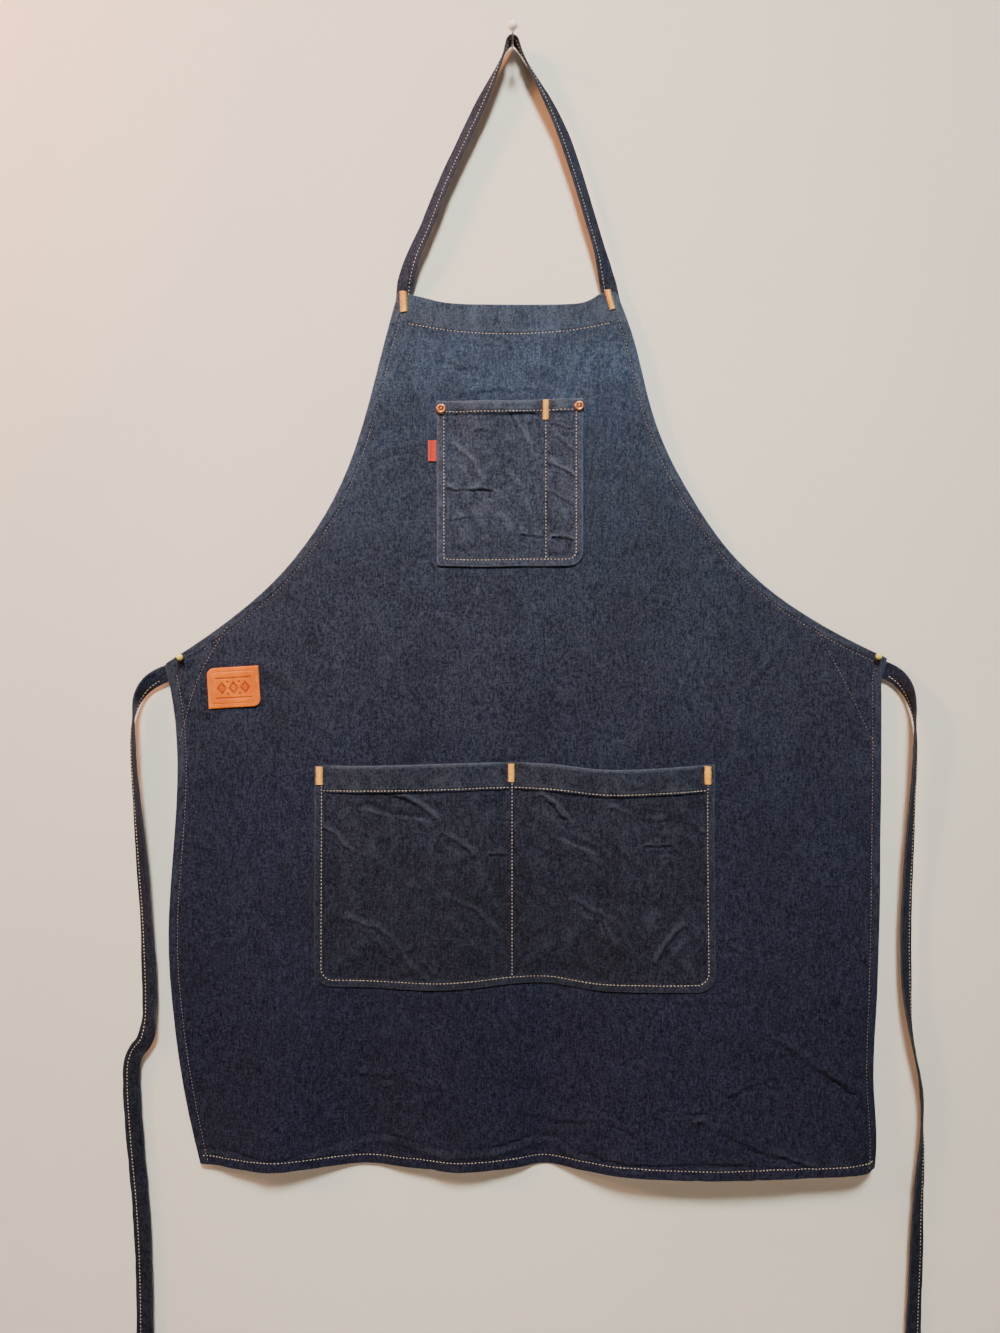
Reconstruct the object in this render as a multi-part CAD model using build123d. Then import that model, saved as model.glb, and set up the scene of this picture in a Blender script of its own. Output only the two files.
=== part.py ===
"""A denim bib apron hanging by its neck strap from a pin in a wall, its waist corners pinned out.

Millimetres. The origin is the hook pin's axis where it enters the wall. +X is to the right, +Y runs
into the wall and +Z is up, so the wall is the plane y = 0 and the apron hangs at y < 0.
Cloth layers are flat plates, and "back" is how far a layer's back face stands in front of the wall.
"""

import os
from math import cos, hypot, radians, sin, tan

from build123d import *

# Layers of cloth, from the wall outwards
CLOTH = 1.2  # one layer of denim
TAPE = 2.0  # the folded tape of the straps
GAP = 0.1  # between layers that are sewn together
TIE_GAP = 0.7  # between the ties and the cloth that they swing behind
PANEL_BACK = 7.8
PANEL_FRONT = PANEL_BACK + CLOTH
HEM_BACK = PANEL_BACK - CLOTH
TIE_BACK = HEM_BACK - TIE_GAP - TAPE
STRAP_BACK = HEM_BACK - GAP - TAPE
POCKET_BACK = PANEL_FRONT + GAP
POCKET_CLOTH = 1.0

# Hems, seams and threads
EDGE_HEM = 10.0
BIB_HEM_Z = -289.0  # the bib's wide hem ends here
BOTTOM_HEM = 9.0
THREAD = 0.8
THREAD_THICK = 0.3
SEAM_GAP = 3.0  # between the ends of two runs of thread
HEM_SEAM = 9.0  # a hem's seam, from the edge
BIB_SEAM = [(-104, -277.5), (-57, -285), (0, -287.5), (58, -284), (97, -277)]

# The body panel's outline, clockwise from the left bib corner, in x and z
BIB_TOP = [(-114, -247), (-77, -254), (-10, -258.5), (78, -255), (89, -247), (102, -246)]
RIGHT_ARMHOLE = [(102, -246), (120, -292), (141, -373), (176, -447), (219, -507), (297, -570), (372, -609)]
RIGHT_SIDE = [(366, -629), (365, -804), (360, -960), (357, -1033), (359, -1100), (357, -1113)]
BOTTOM = [(357, -1113), (130, -1114), (-100, -1112), (-310, -1111)]
LEFT_SIDE = [(-310, -1111), (-322, -1060), (-334, -985), (-341, -880), (-334, -770), (-341, -632)]
LEFT_ARMHOLE = [(-345, -615), (-286, -575), (-231, -527), (-173, -442), (-134, -323), (-114, -247)]

# Corner patches behind the waist, each a triangle between armhole, side and a slanting seam
LEFT_SEAM = [(-282, -576), (-312, -630), (-331, -694)]
RIGHT_SEAM = [(299, -575), (333, -640), (361, -700)]

# Chest pocket: left, right, bottom, top, and the radius of its rounded corner
CHEST = dict(left=-75, right=70, bottom=-517, top=-354.5)
CHEST_CORNER = 13.0
CHEST_RIM = 10.0
CHEST_DEPTH = 6.4
PEN_SEAM_X = 33.0
SEAM_RIM = 9.0  # the cloth that a dividing seam holds flat

# Waist pocket
WAIST = dict(left=-196, right=200, bottom=-935, top=-715)
WAIST_CORNER = 18.0
WAIST_RIM = 11.0
WAIST_DEPTH = 7.6
DIVIDER_X = -0.5
TAPER = 30.0  # how the bulge of a pocket leans in from its seams
CHEST_MOUTH_Z = -365.0  # the seam of each mouth's folded hem
WAIST_MOUTH_Z = -740.0
SEAM_IN = 7.0  # a pocket's outer seam, from its edge

# Leather patch and side tab
PATCH_SIZE = (51.5, 40.0)
PATCH_AT = (-276, -638)
PATCH_TURN = 3.5
PATCH_THICK = 1.6
PATCH_CUT = 7.0
TAB_SIZE = (8.0, 20.5)
TAB_AT = (-79.5, -404)

# Bar tacks and rivets
TACK_THICK = 1.0
TACKS = {
    "strap_bartack_left": [(-108, -256, 7.2, 20.5, 0)],
    "strap_bartack_right": [(96.5, -254, 6.0, 20.0, 16)],
    "pen_slot_bartack": [(33, -364, 7.0, 19.5, 0)],
    "waist_pocket_bartacks": [(x, -725, 7.5, 18.0, 0) for x in (-190, -1, 193)],
}
RIVETS = [(-70.5, -363), (66, -360)]
RIVET_CAP = 4.9
RIVET_POST = 1.5
RIVET_BURR = 4.0
CLEAR = 0.05

# The neck strap: half-way stations of each leg as x, y, z and the tilt of its width out of the wall
STRAP_WIDTH = 17.0
CROWN_RADIUS = 8.0
CROWN_Y = -10.5
LEFT_LEG = [
    (-14, -10, -18, 80), (-31, -9.5, -57, 62), (-54, -9, -107, 50), (-69, -9, -140, 45),
    (-86, -9, -183, 42), (-99, -8.5, -212, 36), (-105.5, -6.5, -233, 14),
]
RIGHT_LEG = [
    (16, -10, -14, 80), (36.5, -9.5, -57, 62), (49, -9, -87, 54), (64, -9, -130, 45),
    (77, -9, -173, 42), (88.5, -8.5, -212, 36), (93.5, -6.5, -232, 14),
]
STRAP_END_Y = -(STRAP_BACK + TAPE / 2)
LEFT_END = [(-107, STRAP_END_Y, -241, 0), (-109, STRAP_END_Y, -274, 0)]
RIGHT_END = [(95.5, STRAP_END_Y, -240, 0), (102, STRAP_END_Y, -272, 0)]
STRAP_SEAM = 4.5  # a tape's seam from its edge

# The waist ties: flat tape of one length, hanging from the waist corners
TIE_WIDTH = 17.0
ARC_SHARE = 0.45
LEFT_TIE = [
    (-331, -620), (-352, -626), (-368, -641), (-374.5, -664), (-375, -704), (-372, -750),
    (-366, -826), (-362, -898), (-360, -955), (-361, -986), (-378, -1003), (-379.5, -1034),
    (-375, -1096), (-369, -1156), (-366, -1225), (-365, -1292), (-367, -1356), (-366, -1422), (-368, -1482),
]
RIGHT_TIE = [
    (354, -616), (376, -621), (391, -638), (397, -664), (398, -705), (394.5, -764), (391, -829),
    (389, -893), (391, -952), (397, -995), (406, -1034), (406.5, -1086), (402.5, -1150),
    (401, -1210), (398, -1275), (397, -1341), (399, -1404), (397.5, -1464),
]

# Pins: the hook pin carries the strap, and two small ones hold the waist corners out
HOOK = dict(shank=1.2, tip=1.0, tip_length=12.0, point=2.0, reach=34.0, head=4.95)
CORNER_PIN = dict(shank=0.7, tip=0.5, tip_length=7.0, point=1.5, reach=13.0, head=3.1)
LEFT_PIN_AT = (-328, -608.5)
RIGHT_PIN_AT = (361, -607.5)


def inset(points, distance):
    """The same line moved sideways, to the left of its direction for a positive distance."""
    moved = []
    for i, (x, z) in enumerate(points):
        x0, z0 = points[max(i - 1, 0)]
        x1, z1 = points[min(i + 1, len(points) - 1)]
        length = hypot(x1 - x0, z1 - z0)
        moved.append((x - (z1 - z0) / length * distance, z + (x1 - x0) / length * distance))
    return moved


def outline(*lines):
    return Face(Wire([edge for line in lines for edge in line.edges()]))


def plate(shape, back, thick):
    """A flat layer cut to a shape drawn in x and z, its back face that far from the wall."""
    return extrude(Plane.XZ.offset(back) * shape, amount=thick, dir=(0, -1, 0))


def box_face(left, right, bottom, top):
    return Pos((left + right) / 2, (bottom + top) / 2) * Rectangle(right - left, top - bottom)


def thread(line, back):
    """One run of topstitching, as a thin strip on the face that far from the wall."""
    return plate(trace(line, THREAD), back, THREAD_THICK)


def panel_face():
    return outline(
        Spline(*BIB_TOP), Spline(*RIGHT_ARMHOLE), Line(RIGHT_ARMHOLE[-1], RIGHT_SIDE[0]),
        Spline(*RIGHT_SIDE), Spline(*BOTTOM), Spline(*LEFT_SIDE),
        Line(LEFT_SIDE[-1], LEFT_ARMHOLE[0]), Spline(*LEFT_ARMHOLE),
    )


def hem_faces():
    """The hem bands: tape-wide strips along each edge, kept inside the outline."""
    runs = [
        (RIGHT_ARMHOLE, EDGE_HEM), (RIGHT_SIDE, EDGE_HEM), (BOTTOM, BOTTOM_HEM),
        (LEFT_SIDE, EDGE_HEM), (LEFT_ARMHOLE, EDGE_HEM),
    ]
    bands = [trace(Spline(*points), 2 * width) for points, width in runs]
    return [*bands, box_face(-150, 150, BIB_HEM_Z, BIB_TOP[0][1] + 10)]


def body_panel():
    """The apron's cloth with its hems folded to the back, holed for the rivets and corner pins."""
    face = panel_face()
    panel = plate(face, PANEL_BACK, CLOTH)
    inside = plate(face, HEM_BACK, CLOTH)
    for band in hem_faces():
        panel += inside & plate(band, HEM_BACK, CLOTH)
    for at in RIVETS:
        panel -= hole(at, RIVET_POST)
    for at in (LEFT_PIN_AT, RIGHT_PIN_AT):
        panel -= hole(at, CORNER_PIN["shank"])
    return panel


def hole(at, radius):
    """What a rivet's post or a pin takes out of the layers of cloth."""
    return plate(Pos(*at) * Circle(radius + CLEAR), HEM_BACK - CLOTH, 5 * CLOTH)


def corner_patch(seam, corner, hems):
    """A triangle of cloth behind a waist corner, tucked between the hems."""
    face = outline(Spline(*seam), Polyline(seam[-1], corner, seam[0]))
    patch = plate(face, PANEL_BACK - GAP - POCKET_CLOTH, POCKET_CLOTH)
    for line in hems:
        band = trace(Spline(*line), 2 * (EDGE_HEM + GAP))
        patch -= plate(band, HEM_BACK - CLOTH, 4 * CLOTH)
    return patch.solids().sort_by(SortBy.VOLUME)[-1]


def pocket(size, rounded, radius, rim, seam_x, depth):
    """A patch pocket: a flat rim sewn down on three sides and at one seam, bulging in between."""
    face = box_face(**size)
    low = face.vertices().filter_by(lambda v: v.Y < size["bottom"] + 1)
    face = fillet([v for v in low if round(v.X) in rounded], radius)
    shape = plate(face, POCKET_BACK, depth + POCKET_CLOTH)
    bulges, hollows, flats = [], [], face
    halves = [
        (size["left"] + rim, seam_x - SEAM_RIM / 2),
        (seam_x + SEAM_RIM / 2, size["right"] - rim),
    ]
    for left, right in halves:
        top = size["top"] + 2 * depth
        foot = box_face(left, right, size["bottom"] + rim, top)
        bulges.append(leaning(foot, depth))
        inner = offset(foot, -POCKET_CLOTH)
        hollows.append(leaning(inner, depth - POCKET_CLOTH))
        flats -= inner
    cloth = plate(flats, POCKET_BACK, POCKET_CLOTH)
    for bulge in bulges:
        cloth += bulge & shape
    for hollow in hollows:
        cloth -= hollow
    return cloth


def leaning(foot, depth):
    return extrude(Plane.XZ.offset(POCKET_BACK) * foot, amount=depth, taper=TAPER)


def ribbon(stations, width, thick, shift=0.0, lift=0.0):
    """A band through stations of (centre, direction along, direction across), straight between them."""
    cuts = []
    for centre, along, across in stations:
        plane = Plane(origin=centre, x_dir=across, z_dir=along)
        cuts.append(plane * Pos(shift, lift) * Rectangle(width, thick))
    return loft(cuts, ruled=True)


def strap_stations():
    """The neck strap from its left end, over the hook pin, to its right end."""
    crown_z = HOOK["shank"] + CLEAR + TAPE / 2 - CROWN_RADIUS
    crown = [
        (CROWN_RADIUS * sin(radians(a)), CROWN_Y, crown_z + CROWN_RADIUS * cos(radians(a)), 90)
        for a in (-60, -30, 0, 30, 60)
    ]
    line = [*reversed(LEFT_LEG + LEFT_END), *crown, *RIGHT_LEG, *RIGHT_END]
    stations = []
    for i, (x, y, z, tilt) in enumerate(line):
        before, after = line[max(i - 1, 0)], line[min(i + 1, len(line) - 1)]
        along = Vector(*(b - a for a, b in zip(before[:3], after[:3]))).normalized()
        outward = Vector(0, 1, 0).cross(along).normalized()
        across = outward * cos(radians(tilt)) + Vector(0, -1, 0) * sin(radians(tilt))
        across = (across - along * across.dot(along)).normalized()
        stations.append((Vector(x, y, z), along, across))
    return stations


def tie_line(route, name):
    """A tie's centre line: straight runs joined by tangent arcs, as large as the runs allow."""
    radii = []
    for a, b, c in zip(route, route[1:], route[2:]):
        ab, bc = Vector(*b) - Vector(*a), Vector(*c) - Vector(*b)
        half = radians(ab.get_angle(bc)) / 2
        radii.append(ARC_SHARE * min(ab.length, bc.length) / tan(half))
    print(name, "arc radii", [round(r) for r in radii])
    return FilletPolyline(*route, radius=radii)


def tie(route, name):
    line = tie_line(route, name)
    band = plate(trace(line, TIE_WIDTH), TIE_BACK, TAPE)
    length = line.length
    print(name, "length", round(length), "volume over section x length",
          round(band.volume / (length * TIE_WIDTH * TAPE), 3))
    return band


def tie_thread(route, side):
    line = tie_line(inset(route, side * (TIE_WIDTH / 2 - STRAP_SEAM)), "tie thread")
    return thread(line, TIE_BACK + TAPE)


def pin_shank(size, at):
    """A pin's wire: the exposed length, a slightly thinner length in the wall, and its point."""
    tip_end, point_end = -size["tip_length"], -size["tip_length"] - size["point"]
    shank = extrude(Plane.XZ * Pos(*at) * Circle(size["shank"]), amount=size["reach"], dir=(0, -1, 0))
    tip = extrude(Plane.XZ * Pos(*at) * Circle(size["tip"]), amount=size["tip_length"], dir=(0, 1, 0))
    point = loft([
        Plane.XZ.offset(tip_end) * Pos(*at) * Circle(size["tip"]),
        Plane.XZ.offset(point_end) * Pos(*at) * Circle(size["tip"] / 6),
    ])
    return shank + tip + point


def pin_head(size, at):
    """A ball head, bored for the end of its wire."""
    y = -(size["reach"] + size["head"] * 0.5)
    ball = Pos(at[0], y, at[1]) * Sphere(size["head"])
    return ball - extrude(Plane.XZ * Pos(*at) * Circle(size["shank"]), amount=size["reach"], dir=(0, -1, 0))


def leather_patch():
    width, height = PATCH_SIZE
    face = Rectangle(width, height)
    cut = face.vertices().filter_by(lambda v: v.X * v.Y < 0)
    face = fillet(cut, PATCH_CUT)
    return plate(Pos(*PATCH_AT) * Rot(0, 0, PATCH_TURN) * face, POCKET_BACK + THREAD_THICK, PATCH_THICK)


def tack(x, z, width, height, turn, back):
    return plate(Pos(x, z) * Rot(0, 0, turn) * Rectangle(width, height), back, TACK_THICK)


def rivet_cap(at):
    back = POCKET_BACK + POCKET_CLOTH + GAP
    cap = plate(Pos(*at) * Circle(RIVET_CAP), back, 1.0)
    cap = chamfer(cap.faces().sort_by(Axis.Y)[0].edges(), 0.6)
    return cap + plate(Pos(*at) * Circle(RIVET_POST), back + 1.0, 0.6)


def rivet_post(at):
    back = PANEL_BACK - GAP - 1.0
    burr = plate(Pos(*at) * Circle(RIVET_BURR), back, 1.0)
    return burr + plate(Pos(*at) * Circle(RIVET_POST), back, POCKET_BACK + POCKET_CLOTH + GAP - back)


def group(shapes):
    return Compound(children=list(shapes))


def outer_seam(size, top, corners):
    """The line of a pocket's thread: down its left side, along its bottom and up its right side."""
    left, right = size["left"] + SEAM_IN, size["right"] - SEAM_IN
    low = size["bottom"] + SEAM_IN
    return FilletPolyline((left, top), (left, low), (right, low), (right, top), radius=corners)


def mouth_threads(size, rim, seam_x, depth, z):
    """The thread along a pocket's mouth hem, on the front of each bulge."""
    lean = depth * tan(radians(TAPER)) + THREAD
    spans = [
        (size["left"] + rim + lean, seam_x - SEAM_RIM / 2 - lean),
        (seam_x + SEAM_RIM / 2 + lean, size["right"] - rim - lean),
    ]
    return group(thread(Line((a, z), (b, z)), POCKET_BACK + depth) for a, b in spans)


def shortened(points, start, end):
    """The same line with its first and last points moved along it, to leave room at its ends."""
    points = list(points)
    for i, j, distance in ((0, 1, start), (-1, -2, end)):
        (x, z), (x1, z1) = points[i], points[j]
        share = distance / hypot(x1 - x, z1 - z)
        points[i] = (x + (x1 - x) * share, z + (z1 - z) * share)
    return points


def panel_thread(points, step, start, end):
    return thread(Spline(*shortened(inset(points, -step), start, end)), PANEL_FRONT)


def strap_threads():
    """The neck strap's seam on each leg, on the face that rests on the neck."""
    legs = [strap_stations()[2:9], strap_stations()[14:21]]
    shift, lift = STRAP_SEAM - STRAP_WIDTH / 2, (TAPE + THREAD_THICK) / 2
    return group(ribbon(leg, THREAD, THREAD_THICK, shift, lift) for leg in legs)


RIM_FRONT = POCKET_BACK + POCKET_CLOTH
CHEST_TACK_LOW, WAIST_TACK_LOW = -374.0, -734.5  # where the bar tacks end
CHEST_LOW = CHEST["bottom"] + SEAM_IN + SEAM_GAP
WAIST_LOW = WAIST["bottom"] + SEAM_IN + SEAM_GAP

nodes = {
    "body_panel": body_panel(),
    "left_corner_patch": corner_patch(LEFT_SEAM, LEFT_ARMHOLE[0], (LEFT_ARMHOLE, LEFT_SIDE)),
    "right_corner_patch": corner_patch(RIGHT_SEAM, RIGHT_ARMHOLE[-1], (RIGHT_ARMHOLE, RIGHT_SIDE)),
    "chest_pocket": pocket(
        CHEST, [CHEST["right"]], CHEST_CORNER, CHEST_RIM, PEN_SEAM_X, CHEST_DEPTH
    ) - [hole(at, RIVET_POST) for at in RIVETS],
    "waist_pocket": pocket(
        WAIST, [WAIST["left"], WAIST["right"]], WAIST_CORNER, WAIST_RIM, DIVIDER_X, WAIST_DEPTH
    ),
    "neck_strap": ribbon(strap_stations(), STRAP_WIDTH, TAPE),
    "waist_tie_left": tie(LEFT_TIE, "left tie"),
    "waist_tie_right": tie(RIGHT_TIE, "right tie"),
    "leather_patch": leather_patch(),
    "side_tab": plate(Pos(*TAB_AT) * Rectangle(*TAB_SIZE), POCKET_BACK, POCKET_CLOTH),
    "rivet_caps": group(rivet_cap(at) for at in RIVETS),
    "rivet_posts": group(rivet_post(at) for at in RIVETS),
    "bib_hem_stitching": thread(Spline(*BIB_SEAM), PANEL_FRONT),
    "left_armhole_stitching": panel_thread(LEFT_ARMHOLE, HEM_SEAM, 6, 24),
    "right_armhole_stitching": panel_thread(RIGHT_ARMHOLE, HEM_SEAM, 24, 6),
    "left_side_stitching": panel_thread(LEFT_SIDE, HEM_SEAM, 14, 2),
    "right_side_stitching": panel_thread(RIGHT_SIDE, HEM_SEAM, 2, 3),
    "bottom_hem_stitching": panel_thread(BOTTOM, HEM_SEAM, 13, 14),
    "left_corner_stitching": panel_thread(LEFT_SEAM, 0, 18, 24),
    "right_corner_stitching": panel_thread(RIGHT_SEAM, 0, 18, 16),
    "chest_pocket_stitching": thread(
        outer_seam(CHEST, RIVETS[0][1] - RIVET_CAP - SEAM_GAP, [2, CHEST_CORNER - 5]), RIM_FRONT
    ),
    "chest_mouth_stitching": mouth_threads(CHEST, CHEST_RIM, PEN_SEAM_X, CHEST_DEPTH, CHEST_MOUTH_Z),
    "pen_slot_stitching": thread(
        Line((PEN_SEAM_X, CHEST_TACK_LOW - SEAM_GAP), (PEN_SEAM_X, CHEST_LOW)), RIM_FRONT
    ),
    "waist_pocket_stitching": thread(
        outer_seam(WAIST, WAIST_TACK_LOW - SEAM_GAP, [WAIST_CORNER - 5] * 2), RIM_FRONT
    ),
    "waist_mouth_stitching": mouth_threads(WAIST, WAIST_RIM, DIVIDER_X, WAIST_DEPTH, WAIST_MOUTH_Z),
    "waist_divider_stitching": thread(
        Line((DIVIDER_X, WAIST_TACK_LOW - SEAM_GAP), (DIVIDER_X, WAIST_LOW)), RIM_FRONT
    ),
    "neck_strap_stitching": strap_threads(),
    "left_tie_stitching": tie_thread(LEFT_TIE[1:], -1),
    "right_tie_stitching": tie_thread(RIGHT_TIE[1:], 1),
    "hook_pin_shank": pin_shank(HOOK, (0, 0)),
    "hook_pin_head": pin_head(HOOK, (0, 0)),
}
for side, at in (("left", LEFT_PIN_AT), ("right", RIGHT_PIN_AT)):
    nodes[f"{side}_pin_shank"] = pin_shank(CORNER_PIN, at)
    nodes[f"{side}_pin_head"] = pin_head(CORNER_PIN, at)
for name, tacks in TACKS.items():
    back = (PANEL_FRONT if name.startswith("strap") else RIM_FRONT) + GAP
    nodes[name] = group(tack(*each, back) for each in tacks)

os.makedirs("parts", exist_ok=True)
for name, shape in nodes.items():
    export_step(shape, f"parts/{name}.step")
print(len(nodes), "nodes")
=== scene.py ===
import bpy
import numpy as np
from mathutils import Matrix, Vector


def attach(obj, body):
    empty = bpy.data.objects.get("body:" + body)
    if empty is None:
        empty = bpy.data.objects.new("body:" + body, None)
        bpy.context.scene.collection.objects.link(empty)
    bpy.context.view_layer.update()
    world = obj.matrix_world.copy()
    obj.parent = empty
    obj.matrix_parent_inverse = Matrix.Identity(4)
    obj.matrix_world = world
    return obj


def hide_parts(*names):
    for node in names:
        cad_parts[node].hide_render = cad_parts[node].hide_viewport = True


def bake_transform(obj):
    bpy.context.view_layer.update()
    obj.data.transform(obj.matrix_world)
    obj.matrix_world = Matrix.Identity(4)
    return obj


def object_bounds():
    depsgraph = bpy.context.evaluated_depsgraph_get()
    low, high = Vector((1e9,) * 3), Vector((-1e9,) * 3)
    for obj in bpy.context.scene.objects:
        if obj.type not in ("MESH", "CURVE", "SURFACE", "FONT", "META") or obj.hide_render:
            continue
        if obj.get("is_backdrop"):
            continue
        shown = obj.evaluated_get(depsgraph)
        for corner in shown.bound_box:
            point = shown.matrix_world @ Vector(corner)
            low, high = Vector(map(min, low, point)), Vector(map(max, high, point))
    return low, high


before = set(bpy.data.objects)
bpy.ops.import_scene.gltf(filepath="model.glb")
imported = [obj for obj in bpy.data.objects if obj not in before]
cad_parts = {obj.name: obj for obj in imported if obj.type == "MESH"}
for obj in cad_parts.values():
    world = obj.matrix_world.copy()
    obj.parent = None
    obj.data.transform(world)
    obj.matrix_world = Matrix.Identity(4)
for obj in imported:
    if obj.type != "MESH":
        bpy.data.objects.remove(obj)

cad_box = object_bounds()
MM = 0.001  # the pieces are in millimetres; the camera, the lamps, the wall and the floor are in metres

# ---------------------------------------------------------------- camera

camera = bpy.data.objects.new("camera", bpy.data.cameras.new("camera"))
bpy.context.scene.collection.objects.link(camera)
camera.data.lens = 27.03
camera.location = (-0.0124, -1.001, -0.6175)
camera.rotation_euler = (np.pi / 2, 0, 0)
bpy.context.scene.camera = camera

# ---------------------------------------------------------------- the ties' routes

TIE_Y = -0.0049
LEFT_TIE = [
    (-331, -620), (-352, -626), (-368, -641), (-374.5, -664), (-375, -704), (-372, -750),
    (-366, -826), (-362, -898), (-360, -955), (-361, -986), (-378, -1003), (-379.5, -1034),
    (-375, -1096), (-369, -1156), (-366, -1225), (-365, -1292), (-367, -1356), (-366, -1422), (-368, -1482),
]
RIGHT_TIE = [
    (354, -616), (376, -621), (391, -638), (397, -664), (398, -705), (394.5, -764), (391, -829),
    (389, -893), (391, -952), (397, -995), (406, -1034), (406.5, -1086), (402.5, -1150),
    (401, -1210), (398, -1275), (397, -1341), (399, -1404), (397.5, -1464),
]


def route(points):
    """The points that a smooth curve through a tie's route has, in mm."""
    curve = bpy.data.curves.new("route", "CURVE")
    curve.dimensions = "3D"
    curve.resolution_u = 24
    spline = curve.splines.new("NURBS")
    spline.points.add(len(points) - 1)
    for point, (x, z) in zip(spline.points, points):
        point.co = (x * MM, TIE_Y, z * MM, 1)
    spline.order_u = 3
    spline.use_endpoint_u = True
    made = bpy.data.objects.new("route", curve)
    bpy.context.scene.collection.objects.link(made)
    bpy.context.view_layer.update()
    line = bpy.data.meshes.new_from_object(made)
    points = np.array([v.co for v in line.vertices]) / MM
    bpy.data.objects.remove(made)
    return points


left_route, right_route = route(LEFT_TIE), route(RIGHT_TIE)

# ---------------------------------------------------------------- numbers and curves


def smooth(t):
    t = np.clip(t, 0, 1)
    return t * t * (3 - 2 * t)


def bell(t):
    return np.exp(-t * t)


def noise(u, v, seed):
    """Smooth noise from -1 to 1, with features about 1 across."""
    m, n = 97, 89  # how many features there are before it repeats
    table = np.random.default_rng(seed).uniform(-1, 1, (m, n))
    i, j = np.floor(u).astype(int), np.floor(v).astype(int)
    a, b = smooth(u - i), smooth(v - j)
    row = lambda k: table[i % m, k % n] * (1 - a) + table[(i + 1) % m, k % n] * a
    return row(j) * (1 - b) + row(j + 1) * b


def ruffle(u, v, seed, octaves=3):
    return sum(noise(u * 2**k + 7 * k, v * 2**k, seed + k) / 2**k for k in range(octaves)) / 1.6


def unit(v):
    """The same directions with a length of 1."""
    return v / np.linalg.norm(v, axis=1, keepdims=True)


def square_to(v, way):
    """The directions nearest to v that are at right angles to way."""
    return unit(v - way * (v * way).sum(1, keepdims=True))


def arc(points):
    """How far along a line each of its points is."""
    return np.concatenate([[0], np.cumsum(np.linalg.norm(np.diff(points, axis=0), axis=1))])


def spline(points, step=2.0):
    """A smooth line through points, as close points."""
    p = np.array(points, float)
    ends = np.vstack([2 * p[0] - p[1], p, 2 * p[-1] - p[-2]])
    at = np.sqrt(np.linalg.norm(np.diff(ends, axis=0), axis=1)).clip(1e-3)
    at = np.concatenate([[0], np.cumsum(at)])[:, None]
    out = []
    for i in range(1, len(p)):
        n = max(2, int(np.linalg.norm(p[i] - p[i - 1]) / step))
        t = at[i] + (at[i + 1] - at[i]) * np.linspace(0, 1, n, endpoint=False)[:, None]
        mix = lambda a, b, j, k: (at[k] - t) / (at[k] - at[j]) * a + (t - at[j]) / (at[k] - at[j]) * b
        a = [mix(ends[j], ends[j + 1], j, j + 1) for j in (i - 1, i, i + 1)]
        b = [mix(a[k], a[k + 1], i - 1 + k, i + 1 + k) for k in (0, 1)]
        out.append(mix(*b, i, i + 1))
    return np.vstack(out + [p[-1:]])


def even(line, step):
    """The same line with its points evenly spaced."""
    s = arc(line)
    n = max(2, int(round(s[-1] / step)) + 1)
    at = np.linspace(0, s[-1], n)
    return np.stack([np.interp(at, s, line[:, k]) for k in range(line.shape[1])], 1)


def blur(values, n):
    """A running mean over 2n + 1 values."""
    padded = np.pad(values, n, mode="edge")
    return np.convolve(padded, np.ones(2 * n + 1) / (2 * n + 1), "valid")


def away(x, z, points):
    """How far each place is from a line of points."""
    best = np.full(np.shape(x), 1e9)
    for (x0, z0), (x1, z1) in zip(points, points[1:]):
        dx, dz = x1 - x0, z1 - z0
        t = np.clip(((x - x0) * dx + (z - z0) * dz) / (dx * dx + dz * dz), 0, 1)
        best = np.minimum(best, np.hypot(x - x0 - t * dx, z - z0 - t * dz))
    return best


def creases(x, z, lines):
    """Uneven valleys in the cloth, each with a bank on its upper side, from (width, depth, points).
    A negative depth is a ridge."""
    total = np.zeros(np.shape(x))
    for width, depth, points in lines:
        low, high = np.min(points, 0) - 6 * width, np.max(points, 0) + 6 * width
        near = (x > low[0]) & (x < high[0]) & (z > low[1]) & (z < high[1])
        if near.any():
            u, v = x[near], z[near]
            wide = width * 0.85 * (1 + 0.35 * noise(u / 13, v / 13, 11))
            u, v = u + 1.7 * noise(u / 8, v / 8, 12), v + 1.7 * noise(u / 8, v / 8, 13)
            t = away(u, v, points) / wide
            (x0, z0), (x1, z1) = points[0], points[-1]
            dx, dz = x1 - x0, z1 - z0
            side = np.sign(dx) * ((v - z0) * dx - (u - x0) * dz) / np.hypot(dx, dz)
            bank = 0.5 + 0.5 * np.tanh(side / wide)
            deep = 1.2 + 0.7 * noise(u / 10, v / 10, 14)
            total[near] += depth * deep * (0.65 * bell((t - 1.3) / 1.5) * bank - 0.85 * bell(t))
    return total


def crumple(x, z, size, seed):
    """Soft planes that meet in crisp lines, as cloth does after it was folded, from 0 to about 1."""
    u = x / size + 0.5 * noise(x / size, z / size, seed + 5)
    v = z / size + 0.5 * noise(x / size, z / size, seed + 6)
    sharp = lambda a, b, k: (1 - np.abs(noise(a, b, seed + k))) ** 3
    broad, small = sharp(u, 0.8 * v + 0.5 * u, 0), sharp(1.9 * u - v, 2.1 * v + u, 1)
    return broad * 0.7 + small * 0.4 * (0.5 + 0.5 * noise(u / 2, v / 2, seed + 2))


# ---------------------------------------------------------------- meshes


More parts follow.
